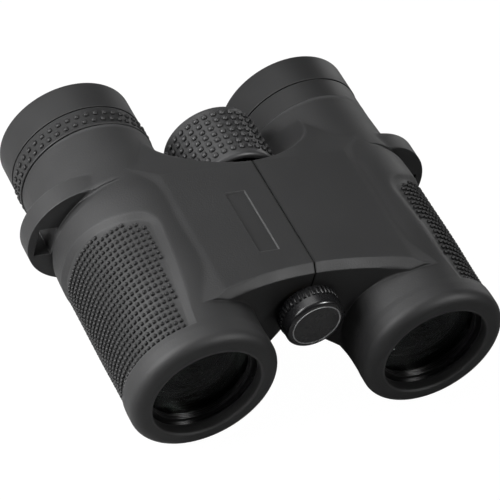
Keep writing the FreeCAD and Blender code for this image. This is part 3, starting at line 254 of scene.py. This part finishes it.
class ThreadSizes(bpy.types.PropertyGroup):
    count: IntProperty(
        name="Threads", description="Fine rings in a clamp ring's bore", default=4, min=1)
    bore: FloatProperty(
        name="Bore", description="Radius of the clamp ring's bore",
        default=15.3 * MM, unit="LENGTH")
    crest: FloatProperty(
        name="Crest", description="Height of a thread over the bore",
        default=0.14 * MM, unit="LENGTH")


class CapSizes(bpy.types.PropertyGroup):
    ribs: IntProperty(
        name="Ribs", description="Ribs round the cap's grip", default=40, min=3)
    rib_width: FloatProperty(
        name="Rib width", description="Across a rib at its foot",
        default=0.95 * MM, unit="LENGTH")
    rib_length: FloatProperty(
        name="Rib length", description="Along the cap's axis",
        default=3.3 * MM, unit="LENGTH")
    rib_height: FloatProperty(
        name="Rib height", description="From the grip's floor to a rib's top",
        default=0.5 * MM, unit="LENGTH")
    rib_inset: FloatProperty(
        name="Rib inset", description="From the cap's rear edge to the ribs",
        default=0.15 * MM, unit="LENGTH")
    grip_depth: FloatProperty(
        name="Grip depth", description="From the cap's rim down to the grip's floor",
        default=0.2 * MM, unit="LENGTH")
    ring_radius: FloatProperty(
        name="Ring radius", description="Radius of the pale ring on the cap's face",
        default=7.27 * MM, unit="LENGTH")
    ring_wire: FloatProperty(
        name="Ring wire", description="Half the width of the pale ring",
        default=0.16 * MM, unit="LENGTH")


def sizes(group):
    """The scene's sizes of one group."""
    return getattr(bpy.context.scene, f"binoculars_{group}")


# ---------------------------------------------------------------- helpers

def deselect():
    """Leave edit mode and select nothing."""
    if bpy.context.object and bpy.context.object.mode != "OBJECT":
        bpy.ops.object.mode_set(mode="OBJECT")
    bpy.ops.object.select_all(action="DESELECT")


def select_only(*objects):
    """Select these objects, and make the first one active."""
    deselect()
    for piece in objects:
        piece.select_set(True)
    bpy.context.view_layer.objects.active = objects[0]


def settle(piece):
    """Put the piece's place into its mesh."""
    select_only(piece)
    bpy.ops.object.transform_apply(location=True, rotation=True, scale=True)
    return piece


def seat(piece, name, body, material):
    """Name a finished piece, give it its finish and let it ride."""
    piece.name = name
    piece.data.name = name
    piece.data.materials.clear()
    piece.data.materials.append(material)
    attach(piece, body)


def surface_of(node):
    """A tree of the node's faces, to find its surface with a ray."""
    mesh = frame["nodes"][node].data
    mesh.calc_loop_triangles()
    points = [vertex.co for vertex in mesh.vertices]
    faces = [tuple(triangle.vertices) for triangle in mesh.loop_triangles]
    return BVHTree.FromPolygons(points, faces)


def pick_edges(piece, wanted):
    """Enter edit mode with the edges selected whose two ends are as wanted."""
    select_only(piece)
    bpy.ops.object.mode_set(mode="EDIT")
    bpy.ops.mesh.select_mode(type="EDGE")
    bpy.ops.mesh.select_all(action="DESELECT")
    bpy.ops.object.mode_set(mode="OBJECT")
    for edge in piece.data.edges:
        ends = [piece.data.vertices[index].co for index in edge.vertices]
        edge.select = wanted(*ends)
    bpy.ops.object.mode_set(mode="EDIT")


def stud(along, across, height, taper=0.62, corner=0.22, shoulder=0.3):
    """One stud that stands on z = 0: tapered sides, round corners, soft top edge.

    The corners are rounded to a share of its width, the top edge to a share of its height.
    """
    deselect()
    bpy.ops.mesh.primitive_cube_add(size=1, location=(0, 0, height / 2))
    piece = bpy.context.object
    piece.scale = (along, across, height)
    settle(piece)
    pick_edges(piece, lambda one, two: abs(one.z - two.z) > height / 2)
    bpy.ops.mesh.bevel(offset=corner * min(along, across), segments=2)
    bpy.ops.object.mode_set(mode="OBJECT")
    pick_edges(piece, lambda one, two: min(one.z, two.z) > height / 2)
    bpy.ops.transform.resize(value=(taper, taper, 1))
    bpy.ops.mesh.bevel(offset=shoulder * height, segments=1)
    bpy.ops.object.mode_set(mode="OBJECT")
    bpy.ops.object.shade_smooth()
    return piece


def band(centre, radius, wire, segments, rounding=0.6):
    """A round ring about the barrels' direction: a hoop widened, thickened and rounded."""
    square_corner = math.radians(60)
    deselect()
    bpy.ops.mesh.primitive_circle_add(
        vertices=segments, radius=radius - wire, rotation=FACING, location=centre - wire * ALONG)
    piece = settle(bpy.context.object)
    bpy.ops.object.mode_set(mode="EDIT")
    bpy.ops.mesh.select_mode(type="EDGE")
    bpy.ops.mesh.select_all(action="SELECT")
    bpy.ops.mesh.extrude_edges_move()       # widened to a flat washer
    wider = (radius + wire) / (radius - wire)
    bpy.ops.transform.resize(value=(wider, 1, wider), center_override=centre)
    bpy.ops.mesh.select_all(action="SELECT")    # thickened to a square section
    bpy.ops.mesh.extrude_region_move(TRANSFORM_OT_translate={"value": (0, 2 * wire, 0)})
    bpy.ops.mesh.select_all(action="SELECT")
    bpy.ops.mesh.normals_make_consistent(inside=False)
    bpy.ops.mesh.select_all(action="DESELECT")
    bpy.ops.mesh.edges_select_sharp(sharpness=square_corner)
    bpy.ops.mesh.bevel(offset=rounding * wire, segments=2)
    bpy.ops.object.mode_set(mode="OBJECT")
    bpy.ops.object.shade_smooth()
    return piece


def place_copies(pattern, places, name):
    """Copy a pattern piece to each matrix and join the copies into one piece."""
    copies = []
    for place in places:
        copy = bpy.data.objects.new(name, pattern.data.copy())
        bpy.context.scene.collection.objects.link(copy)
        copy.data.transform(place)
        copies.append(copy)
    select_only(*copies)
    bpy.ops.object.join()
    joined = bpy.context.object
    bpy.data.objects.remove(pattern)
    return joined


def standing(point, normal, along):
    """Place of a stud on point: its z axis on the normal, its x along the barrel."""
    up = normal.normalized()
    side = up.cross(along).normalized()
    forward = side.cross(up)
    place = Matrix((forward, side, up)).transposed().to_4x4()
    place.translation = point
    return place


# -------------------------------------------------------------- materials

def finish(name):
    """A finish made earlier."""
    return bpy.data.materials[f"finish_{name}"]


def material_of(name):
    """A new material's node tree, Principled shader and Object coordinates."""
    material = bpy.data.materials.new(f"finish_{name}")
    material.use_nodes = True
    tree = material.node_tree
    shader = tree.nodes["Principled BSDF"]
    place = tree.nodes.new("ShaderNodeTexCoord")
    return tree, shader, place.outputs["Object"]


def noise(tree, place, size, detail, roughness=0.6):
    """Noise whose grains are about size across, in metres."""
    node = tree.nodes.new("ShaderNodeTexNoise")
    node.inputs["Scale"].default_value = 1 / size
    node.inputs["Detail"].default_value = detail
    node.inputs["Roughness"].default_value = roughness
    tree.links.new(place, node.inputs["Vector"])
    return node.outputs["Fac"]


def ramp(tree, value, start, end, low, high):
    """A value that goes from low at start to high at end, and stays there."""
    node = tree.nodes.new("ShaderNodeMapRange")
    node.inputs["From Min"].default_value = start
    node.inputs["From Max"].default_value = end
    node.inputs["To Min"].default_value = low
    node.inputs["To Max"].default_value = high
    tree.links.new(value, node.inputs["Value"])
    return node.outputs["Result"]


def span(tree, value, low, high):
    """Stretch a noise, which mostly stays between 0.3 and 0.7, over a range."""
    return ramp(tree, value, 0.3, 0.7, low, high)


def arithmetic(tree, operation, *values):
    """The result of a Math node on one or two values."""
    node = tree.nodes.new("ShaderNodeMath")
    node.operation = operation
    for socket, value in zip(node.inputs, values):
        tree.links.new(value, socket)
    return node.outputs["Value"]


def blended(tree, share, first, second):
    """The first colour where share is 0, the second where it is 1."""
    node = tree.nodes.new("ShaderNodeMix")
    node.data_type = "RGBA"
    tree.links.new(share, node.inputs["Factor"])
    for name, colour in (("A", first), ("B", second)):
        if isinstance(colour, bpy.types.NodeSocket):
            tree.links.new(colour, node.inputs[name])
        else:
            node.inputs[name].default_value = (*colour, 1)
    return node.outputs["Result"]


def scaled(colour, factor):
    """A colour made darker or paler."""
    return tuple(channel * factor for channel in colour)


def tinted(tree, cloud, colour, darker, paler):
    """A colour that wanders with a noise between two shades of itself."""
    return blended(tree, cloud, scaled(colour, darker), scaled(colour, paler))


def uneven_gloss(tree, shader, cloud, rough, swing):
    """Roughness that wanders with a noise by a swing either way."""
    tree.links.new(span(tree, cloud, rough - swing, rough + swing), shader.inputs["Roughness"])


def across_and_along(tree, place):
    """How far a point lies from the hinge's plane, and where along the barrels."""
    parts = tree.nodes.new("ShaderNodeSeparateXYZ")
    tree.links.new(place, parts.inputs["Vector"])
    return arithmetic(tree, "ABSOLUTE", parts.outputs["X"]), parts.outputs["Y"]


def bump(tree, shader, height, depth, strength):
    """Bump of a stated depth in metres."""
    node = tree.nodes.new("ShaderNodeBump")
    node.inputs["Distance"].default_value = depth
    node.inputs["Strength"].default_value = strength
    tree.links.new(height, node.inputs["Height"])
    tree.links.new(node.outputs["Normal"], shader.inputs["Normal"])
    return node


def soft_edges(tree, grain, radius):
    """Let the edges under a bump look rounded to a radius."""
    soft = tree.nodes.new("ShaderNodeBevel")
    soft.samples = 6
    soft.inputs["Radius"].default_value = radius
    tree.links.new(soft.outputs["Normal"], grain.inputs["Normal"])
    return soft


def turned_lines(tree, place, stretch, size, detail):
    """Noise drawn out round the barrels' direction, as the lines that a lathe leaves."""
    node = tree.nodes.new("ShaderNodeMapping")
    node.inputs["Scale"].default_value = (1, stretch, 1)
    tree.links.new(place, node.inputs["Vector"])
    return noise(tree, node.outputs["Vector"], size, detail)


def rubber(name, colour, rough, grain, depth, edge=0.35 * MM):
    """Moulded rubber: a fine sparked grain and soft, uneven sheen, with painted shade in narrow
    gaps and a painted highlight along the edges.
    """
    tree, shader, place = material_of(name)
    cloud = noise(tree, place, 14 * MM, 3)
    fine = noise(tree, place, grain, 2, 0.7)
    tint = tinted(tree, cloud, colour, darker=0.85, paler=1.15)
    uneven_gloss(tree, shader, cloud, rough, swing=0.04)
    shader.inputs["Specular IOR Level"].default_value = 0.4
    shader.inputs["Sheen Weight"].default_value = 0.04
    shader.inputs["Sheen Roughness"].default_value = 0.5
    soft = soft_edges(tree, bump(tree, shader, fine, depth, strength=0.6), edge)
    # dark is the painted shade in gaps, pale the painted highlight on the edges
    dark, pale = scaled(colour, 0.25), scaled(colour, 3.2)
    skin = painted(tree, painted_gap_shade(tree, tint, dark), soft, pale)
    tree.links.new(skin, shader.inputs["Base Color"])
    return tree, place, shader, soft


def painted_gap_shade(tree, tint, dark):
    """Darken a colour in narrow gaps, such as those between studs, with painted shade."""
    gaps = tree.nodes.new("ShaderNodeAmbientOcclusion")
    gaps.samples = 8
    gaps.inputs["Distance"].default_value = 1.8 * MM
    openness = ramp(tree, gaps.outputs["AO"], start=0.45, end=0.95, low=0, high=1)
    return blended(tree, openness, dark, tint)


def painted(tree, tint, soft, pale):
    """Pale a colour along the edges that the soft bevel rounds: a painted highlight."""
    skin = tree.nodes.new("ShaderNodeNewGeometry")
    turned = tree.nodes.new("ShaderNodeVectorMath")
    turned.operation = "DOT_PRODUCT"
    tree.links.new(skin.outputs["Normal"], turned.inputs[0])
    tree.links.new(soft.outputs["Normal"], turned.inputs[1])
    highlight_share = ramp(tree, turned.outputs["Value"], start=0.99, end=0.88, low=0, high=1)
    return blended(tree, highlight_share, tint, pale)


def soften_shoulders(tree, place, soft, edges):
    """Round edges off more where the deck runs into the barrels and at the front lips."""
    across, along = across_and_along(tree, place)
    starts = ramp(tree, across, *SHOULDER_STARTS, edges.plain, edges.shoulder)
    ends = ramp(tree, across, *SHOULDER_ENDS, edges.shoulder, edges.plain)
    front = ramp(tree, along, *SHOULDER_FRONT, edges.plain, edges.shoulder)
    shoulders = arithmetic(tree, "MINIMUM", arithmetic(tree, "MINIMUM", starts, ends), front)
    lips = ramp(tree, along, *LIP_REAR, edges.lip, edges.plain)
    # the radius also sets how wide the painted edge highlight is
    tree.links.new(arithmetic(tree, "MAXIMUM", shoulders, lips), soft.inputs["Radius"])


def paint_seam_shade(tree, place, shader, colour, half):
    """Darken the lips of the seam between the two halves of the deck with painted shade."""
    across = across_and_along(tree, place)[0]
    clear = ramp(tree, across, start=half, end=1.2 * half, low=0, high=1)
    plain = shader.inputs["Base Color"].links[0].from_socket
    tree.links.new(blended(tree, clear, colour, plain), shader.inputs["Base Color"])


def plastic(name, colour, rough, grain=0.35 * MM, depth=0.004 * MM):
    """Moulded plastic with a faint texture from its mould."""
    tree, shader, place = material_of(name)
    cloud = noise(tree, place, 6 * MM, 3)
    fine = noise(tree, place, grain, 2)
    tint = tinted(tree, cloud, colour, darker=0.9, paler=1.1)
    tree.links.new(tint, shader.inputs["Base Color"])
    uneven_gloss(tree, shader, cloud, rough, swing=0.03)
    bump(tree, shader, fine, depth, strength=0.5)


def metal(name, colour, rough):
    """Machined metal: fine lines round the turning axis, slightly uneven gloss."""
    tree, shader, place = material_of(name)
    lines = turned_lines(tree, place, stretch=30, size=5 * MM, detail=3)
    cloud = noise(tree, place, 5 * MM, 3)
    tint = tinted(tree, cloud, colour, darker=0.92, paler=1.06)
    tree.links.new(tint, shader.inputs["Base Color"])
    uneven_gloss(tree, shader, lines, rough, swing=0.06)
    shader.inputs["Metallic"].default_value = 1.0
    bump(tree, shader, lines, depth=0.003 * MM, strength=0.5)


def anodised(name, colour, rough):
    """Black anodised alloy with turning lines: hardly metallic, a little gloss."""
    tree, shader, place = material_of(name)
    lines = turned_lines(tree, place, stretch=40, size=8 * MM, detail=2)
    tint = tinted(tree, lines, colour, darker=0.8, paler=1.2)
    tree.links.new(tint, shader.inputs["Base Color"])
    uneven_gloss(tree, shader, lines, rough, swing=0.05)
    shader.inputs["Specular IOR Level"].default_value = 0.6
    bump(tree, shader, lines, depth=0.006 * MM, strength=0.3)


def glass(name, tint, rough, index):
    """Optical glass; a low index stands in for a coating that stops reflections."""
    tree, shader, place = material_of(name)
    dust = noise(tree, place, 2.5 * MM, 4)
    tree.links.new(span(tree, dust, rough, rough + 0.02), shader.inputs["Roughness"])
    shader.inputs["Base Color"].default_value = (*tint, 1)
    shader.inputs["Transmission Weight"].default_value = 1.0
    shader.inputs["IOR"].default_value = index


def make_finishes():
    """Make every finish of the instrument."""
    colours, edges = sizes("rubber"), sizes("edges")
    armour, studs = tuple(colours.armour), tuple(colours.studs)
    wheel, cap = tuple(colours.wheel), tuple(colours.cap)
    tree, place, shader, soft = rubber(
        "armour_rubber", armour, rough=0.55, grain=0.5 * MM, depth=0.12 * MM, edge=edges.plain)
    soften_shoulders(tree, place, soft, edges)
    # painted shade along the seam, in a darker copy of the armour's colour
    paint_seam_shade(tree, place, shader, scaled(armour, 0.05), edges.seam)
    # the studs' darker colour is painted shade
    rubber("grip_rubber", studs, rough=0.4, grain=0.3 * MM, depth=0.01 * MM)
    rubber("moulded_rubber", scaled(armour, 0.75), rough=0.5, grain=0.24 * MM, depth=0.01 * MM)
    rubber("wheel_rubber", wheel, rough=0.4, grain=0.2 * MM, depth=0.006 * MM)
    rubber("ring_rubber", scaled(armour, 0.8), rough=0.48, grain=0.24 * MM, depth=0.008 * MM)
    rubber("seal_rubber", (0.012, 0.012, 0.012), rough=0.4, grain=0.2 * MM, depth=0.004 * MM)
    plastic("black_plastic", cap, rough=0.27)
    plastic("slide_plastic", (0.03, 0.03, 0.031), rough=0.42)
    plastic("ring_paint", tuple(colours.ring), rough=0.4, grain=0.2 * MM, depth=0.002 * MM)
    plastic("alloy_housing", (0.008, 0.008, 0.008), rough=0.5)
    anodised("black_anodised", (0.008, 0.008, 0.008), rough=0.26)
    anodised("satin_black_metal", (0.015, 0.015, 0.015), rough=0.3)
    metal("steel", (0.56, 0.56, 0.57), rough=0.3)
    metal("brass", (0.62, 0.48, 0.24), rough=0.3)
    glass("coated_glass", (0.72, 0.75, 0.74), rough=0.01, index=1.14)
    glass("prism_glass", (0.8, 0.84, 0.82), rough=0.01, index=1.5)


# The finishes whose names differ from their slots': by slot, and by node.
SLOT_FINISH = {"inlay_plate": "black_plastic"}
NODE_FINISH = {
    "wheel_tyre": "wheel_rubber",
    "hinge_tube": "satin_black_metal",
    "focus_spindle": "satin_black_metal",
}


# ------------------------------------------------------------------ stage

class BINOCULARS_OT_stage(bpy.types.Operator):
    """Set up the floor, the lights and the camera"""
    bl_idname = "binoculars.stage"
    bl_label = "Stage"

    def execute(self, context):
        studio = sizes("studio")
        self.make_floor(studio)
        target = Vector(studio.target)
        lamps = {name: self.add_light(name, target, getattr(studio, f"{name}_power"))
                 for name in LIGHTS}
        lamps["front"].visible_diffuse = False
        self.make_world(studio.world_strength)
        self.make_camera(studio, target)
        context.scene.view_settings.view_transform = "Standard"
        return {"FINISHED"}

    def make_floor(self, studio):
        """Lay a wide pale floor that the camera sees as white and that keeps the shadow."""
        deselect()
        bpy.ops.mesh.primitive_plane_add(size=6, location=(0, 0, CAD_BOX[0].z))
        floor = bpy.context.object
        floor.name = "floor"
        settle(floor)
        tree, shader, place = material_of("floor_white")
        cloud = noise(tree, place, 0.2, 2)
        tint = blended(tree, cloud, (0.38, 0.38, 0.38), (0.4, 0.4, 0.4))
        tree.links.new(tint, shader.inputs["Base Color"])
        shader.inputs["Roughness"].default_value = 0.8
        paper = tree.nodes.new("ShaderNodeEmission")
        paper.inputs["Color"].default_value = (1, 1, 1, 1)
        paper.inputs["Strength"].default_value = studio.paper_white
        mix = tree.nodes.new("ShaderNodeMixShader")
        seen = tree.nodes.new("ShaderNodeLightPath")
        share = ramp(tree, seen.outputs["Is Camera Ray"],
                     start=0, end=1, low=0, high=studio.paper_share)
        tree.links.new(share, mix.inputs["Fac"])
        tree.links.new(shader.outputs["BSDF"], mix.inputs[1])
        tree.links.new(paper.outputs["Emission"], mix.inputs[2])
        tree.links.new(mix.outputs["Shader"], tree.nodes["Material Output"].inputs["Surface"])
        floor.data.materials.append(finish("floor_white"))

    def add_light(self, name, target, power):
        """Hang a round soft light where its row of LIGHTS says."""
        direction, distance, size = LIGHTS[name]
        lamp = bpy.data.lights.new(name, "AREA")
        lamp.shape = "DISK"
        lamp.size = size
        lamp.energy = power
        thing = bpy.data.objects.new(name, lamp)
        bpy.context.scene.collection.objects.link(thing)
        thing.location = target + Vector(direction).normalized() * distance
        thing.rotation_euler = Vector(direction).to_track_quat("Z", "Y").to_euler()
        return thing

    def make_world(self, strength):
        """Light the object evenly and faintly all round; the camera sees plain white."""
        world = bpy.data.worlds.new("studio")
        bpy.context.scene.world = world
        world.use_nodes = True
        tree = world.node_tree
        sky = tree.nodes["Background"]
        sky.inputs["Color"].default_value = (1, 1, 1, 1)
        sky.inputs["Strength"].default_value = strength
        white = tree.nodes.new("ShaderNodeBackground")
        white.inputs["Color"].default_value = (1, 1, 1, 1)
        white.inputs["Strength"].default_value = 1.0
        seen = tree.nodes.new("ShaderNodeLightPath")
        mix = tree.nodes.new("ShaderNodeMixShader")
        tree.links.new(seen.outputs["Is Camera Ray"], mix.inputs["Fac"])
        tree.links.new(sky.outputs["Background"], mix.inputs[1])
        tree.links.new(white.outputs["Background"], mix.inputs[2])
        tree.links.new(mix.outputs["Shader"], tree.nodes["World Output"].inputs["Surface"])

    def make_camera(self, studio, target):
        """Put the camera at its angle, distance and roll, looking at the target."""
        lens = bpy.data.cameras.new("camera")
        lens.lens = studio.focal_length
        lens.sensor_width = 36
        lens.clip_start = 0.01
        camera = bpy.data.objects.new("camera", lens)
        bpy.context.scene.collection.objects.link(camera)
        turn, rise = studio.azimuth, studio.elevation
        back = Vector((math.sin(turn) * math.cos(rise), -math.cos(turn) * math.cos(rise),
                       math.sin(rise)))
        level = Vector((math.cos(turn), math.sin(turn), 0))
        upright = back.cross(level)
        right = level * math.cos(studio.roll) + upright * math.sin(studio.roll)
        above = upright * math.cos(studio.roll) - level * math.sin(studio.roll)
        place = Matrix((right, above, back)).transposed().to_4x4()
        place.translation = target + back * studio.distance
        camera.matrix_world = place
        bpy.context.scene.camera = camera


# --------------------------------------------------------------- finishes

class BINOCULARS_OT_finishes(bpy.types.Operator):
    """Make the materials and give every part of the frame its own"""
    bl_idname = "binoculars.finishes"
    bl_label = "Finishes"

    def execute(self, context):
        make_finishes()
        slots = {part["node"]: part["material_slot"] for part in frame["record"]["subparts"]}
        for node, thing in frame["nodes"].items():
            name = NODE_FINISH.get(node, SLOT_FINISH.get(slots[node], slots[node]))
            thing.data.materials.clear()
            thing.data.materials.append(finish(name))
        return {"FINISHED"}


# ------------------------------------------------------------------ studs

def round_places(centre, radius, count, alongs, turn=0.0):
    """Places in rows round an axis through centre that runs along the barrels."""
    places = []
    for along in alongs:
        for index in range(count):
            angle = 2 * math.pi * index / count + turn
            out = Vector((math.sin(angle), 0, math.cos(angle)))
            places.append(standing(centre + out * radius + along * ALONG, out, ALONG))
    return places


def outer_radius(node):
    """Half the width of a node's box, which for a round node is its radius."""
    low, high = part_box(node)
    return (high.x - low.x) / 2


class BINOCULARS_OT_grip_studs(bpy.types.Operator):
    """Stud the recessed grip on each barrel's armour"""
    bl_idname = "binoculars.grip_studs"
    bl_label = "Grip studs"

    def execute(self, context):
        grip = sizes("grip")
        for side, sign in SIDES.items():
            pattern = stud(grip.width, grip.width, grip.height + SUNK)
            places = self.find_places(grip, side, sign)
            if not places:
                raise RuntimeError(f"no place found for the {side} grip's studs")
            studs = place_copies(pattern, places, f"{side}_grip_studs")
            seat(studs, f"{side}_grip_studs", BARREL[side], finish("grip_rubber"))
        return {"FINISHED"}

    def find_places(self, grip, side, sign):
        """Drop rows of studs onto the armour, from the barrel's top to its underside."""
        axis = AXIS[side]
        skin = surface_of(f"{side}_armour")
        reach = outer_radius(f"{side}_armour")
        step = grip.pitch_round / outer_radius(f"{side}_eyecup")
        first = 0.6     # of a pitch, from the panel's front to the first row
        spare = 1.3     # the rear edge slopes, so the rows go on past its inner corner
        places = []
        for row in range(round((grip.rear - grip.front) / grip.pitch_along * spare)):
            along = grip.front + (row + first) * grip.pitch_along
            for column in range(round(math.pi / step)):
                angle = column * step
                out = Vector((sign * math.sin(angle), 0, math.cos(angle)))
                start = Vector((axis.x, FRONT + along, axis.z)) + out * reach
                point, normal = skin.ray_cast(start, -out)[:2]
                if point is not None and self.in_panel(grip, sign * (point.x - axis.x), along):
                    places.append(standing(point - normal * SUNK, normal, ALONG))
        return places

    def in_panel(self, grip, outward, along):
        """Whether a stud stands clear of the panel's edges, seen from above."""
        from_edge = outward - grip.edge + grip.edge_slope * (along - grip.front)
        inner = grip.edge - grip.edge_slope * (grip.rear - grip.front)
        from_rear = grip.rear + grip.rear_slope * (outward - inner) - along
        if min(from_edge, from_rear) < grip.margin:
            return False
        if max(from_edge, from_rear) < grip.corner:
            miss = math.hypot(grip.corner - from_edge, grip.corner - from_rear)
            return miss < grip.corner - grip.margin
        return True


class BINOCULARS_OT_wheel_studs(bpy.types.Operator):
    """Stud the tyre of the focus wheel"""
    bl_idname = "binoculars.wheel_studs"
    bl_label = "Wheel studs"

    def execute(self, context):
        wheel = sizes("wheel")
        pattern = stud(wheel.width, wheel.width, wheel.height + SUNK, taper=0.6, corner=0.3)
        alongs = [(index - (wheel.per_line - 1) / 2) * wheel.pitch
                  for index in range(wheel.per_line)]
        radius = outer_radius("wheel_tyre") - SUNK
        places = round_places(node_middle("wheel_tyre"), radius, wheel.lines, alongs)
        studs = place_copies(pattern, places, "wheel_studs")
        seat(studs, "wheel_studs", "focus_wheel", finish("wheel_rubber"))
        return {"FINISHED"}


class BINOCULARS_OT_ring_studs(bpy.types.Operator):
    """Stud the diopter ring with two staggered rows and give it its front bead"""
    bl_idname = "binoculars.ring_studs"
    bl_label = "Diopter ring studs"

    def execute(self, context):
        ring = sizes("ring")
        low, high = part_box("diopter_ring")
        radius = outer_radius("diopter_ring")
        middle = (low + high) / 2
        pattern = stud(ring.width, ring.width, ring.height + SUNK, taper=0.7, corner=0.3)
        apart = (high.y - low.y) * ring.row_share
        first = round_places(middle, radius - SUNK, ring.count, [apart])
        second = round_places(middle, radius - SUNK, ring.count, [-apart], math.pi / ring.count)
        studs = place_copies(pattern, first + second, "diopter_studs")
        seat(studs, "diopter_studs", "diopter_ring", finish("ring_rubber"))
        bead = band(Vector((middle.x, low.y + ring.bead, middle.z)), radius, ring.bead, 128)
        seat(bead, "diopter_bead", "diopter_ring", finish("ring_rubber"))
        return {"FINISHED"}


class BINOCULARS_OT_clamp_threads(bpy.types.Operator):
    """Lay fine rings in the bore of each clamp ring"""
    bl_idname = "binoculars.clamp_threads"
    bl_label = "Clamp ring threads"

    def execute(self, context):
        threads = sizes("threads")
        for side in SIDES:
            low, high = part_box(f"{side}_clamp_ring")
            middle = (low + high) / 2
            rings = []
            for index in range(threads.count):
                along = low.y + (index + 0.5) * (high.y - low.y) / threads.count
                centre = Vector((middle.x, along, middle.z))
                rings.append(band(centre, threads.bore, threads.crest, 96))
            select_only(*rings)
            bpy.ops.object.join()
            seat(bpy.context.object, f"{side}_clamp_threads", BARREL[side],
                 finish("black_anodised"))
        return {"FINISHED"}


class BINOCULARS_OT_cap_grip(bpy.types.Operator):
    """Rib the rear band of the screw cap and lay a pale ring in its face"""
    bl_idname = "binoculars.cap_grip"
    bl_label = "Cap grip"

    def execute(self, context):
        cap = sizes("cap")
        low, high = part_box("socket_cap")
        middle = (low + high) / 2
        radius = outer_radius("socket_cap") - SUNK - cap.grip_depth
        pattern = stud(
            cap.rib_length, cap.rib_width, cap.rib_height + SUNK, taper=0.7, corner=0.15)
        along = high.y - middle.y - cap.rib_inset - cap.rib_length / 2
        ribs = place_copies(pattern, round_places(middle, radius, cap.ribs, [along]), "cap_ribs")
        seat(ribs, "cap_ribs", "socket_cap", finish("black_plastic"))
        wire = band(Vector((middle.x, low.y, middle.z)), cap.ring_radius, cap.ring_wire, 128)
        seat(wire, "cap_ring", "socket_cap", finish("ring_paint"))
        return {"FINISHED"}


# ------------------------------------------------------------------ panel

OPERATORS = (
    BINOCULARS_OT_stage,
    BINOCULARS_OT_finishes,
    BINOCULARS_OT_grip_studs,
    BINOCULARS_OT_wheel_studs,
    BINOCULARS_OT_ring_studs,
    BINOCULARS_OT_cap_grip,
    BINOCULARS_OT_clamp_threads,
)
GROUPS = {
    "studio": StudioSizes,
    "rubber": RubberColours,
    "edges": EdgeSizes,
    "grip": GripSizes,
    "wheel": WheelSizes,
    "ring": RingSizes,
    "cap": CapSizes,
    "threads": ThreadSizes,
}


class BINOCULARS_PT_panel(bpy.types.Panel):
    """Sizes, colours and steps of the binoculars"""
    bl_label = "Binoculars"
    bl_idname = "BINOCULARS_PT_panel"
    bl_space_type = "VIEW_3D"
    bl_region_type = "UI"
    bl_category = "Binoculars"

    def draw(self, context):
        for group in GROUPS:
            settings = sizes(group)
            for key in settings.__annotations__:
                self.layout.prop(settings, key)
        for operator in OPERATORS:
            self.layout.operator(operator.bl_idname)


def register():
    """Register the sizes, the operators and the panel."""
    for group, kind in GROUPS.items():
        bpy.utils.register_class(kind)
        holder = bpy.props.PointerProperty(type=kind)
        setattr(bpy.types.Scene, f"binoculars_{group}", holder)
    for kind in (*OPERATORS, BINOCULARS_PT_panel):
        bpy.utils.register_class(kind)


def unregister():
    """Take away all that register added."""
    for kind in (BINOCULARS_PT_panel, *reversed(OPERATORS)):
        bpy.utils.unregister_class(kind)
    for group, kind in GROUPS.items():
        delattr(bpy.types.Scene, f"binoculars_{group}")
        bpy.utils.unregister_class(kind)


def main():
    """Build the looks step by step."""
    register()
    bpy.ops.binoculars.stage()
    bpy.ops.binoculars.finishes()
    bpy.ops.binoculars.grip_studs()
    bpy.ops.binoculars.wheel_studs()
    bpy.ops.binoculars.ring_studs()
    bpy.ops.binoculars.cap_grip()
    bpy.ops.binoculars.clamp_threads()


if __name__ == "__main__":
    main()
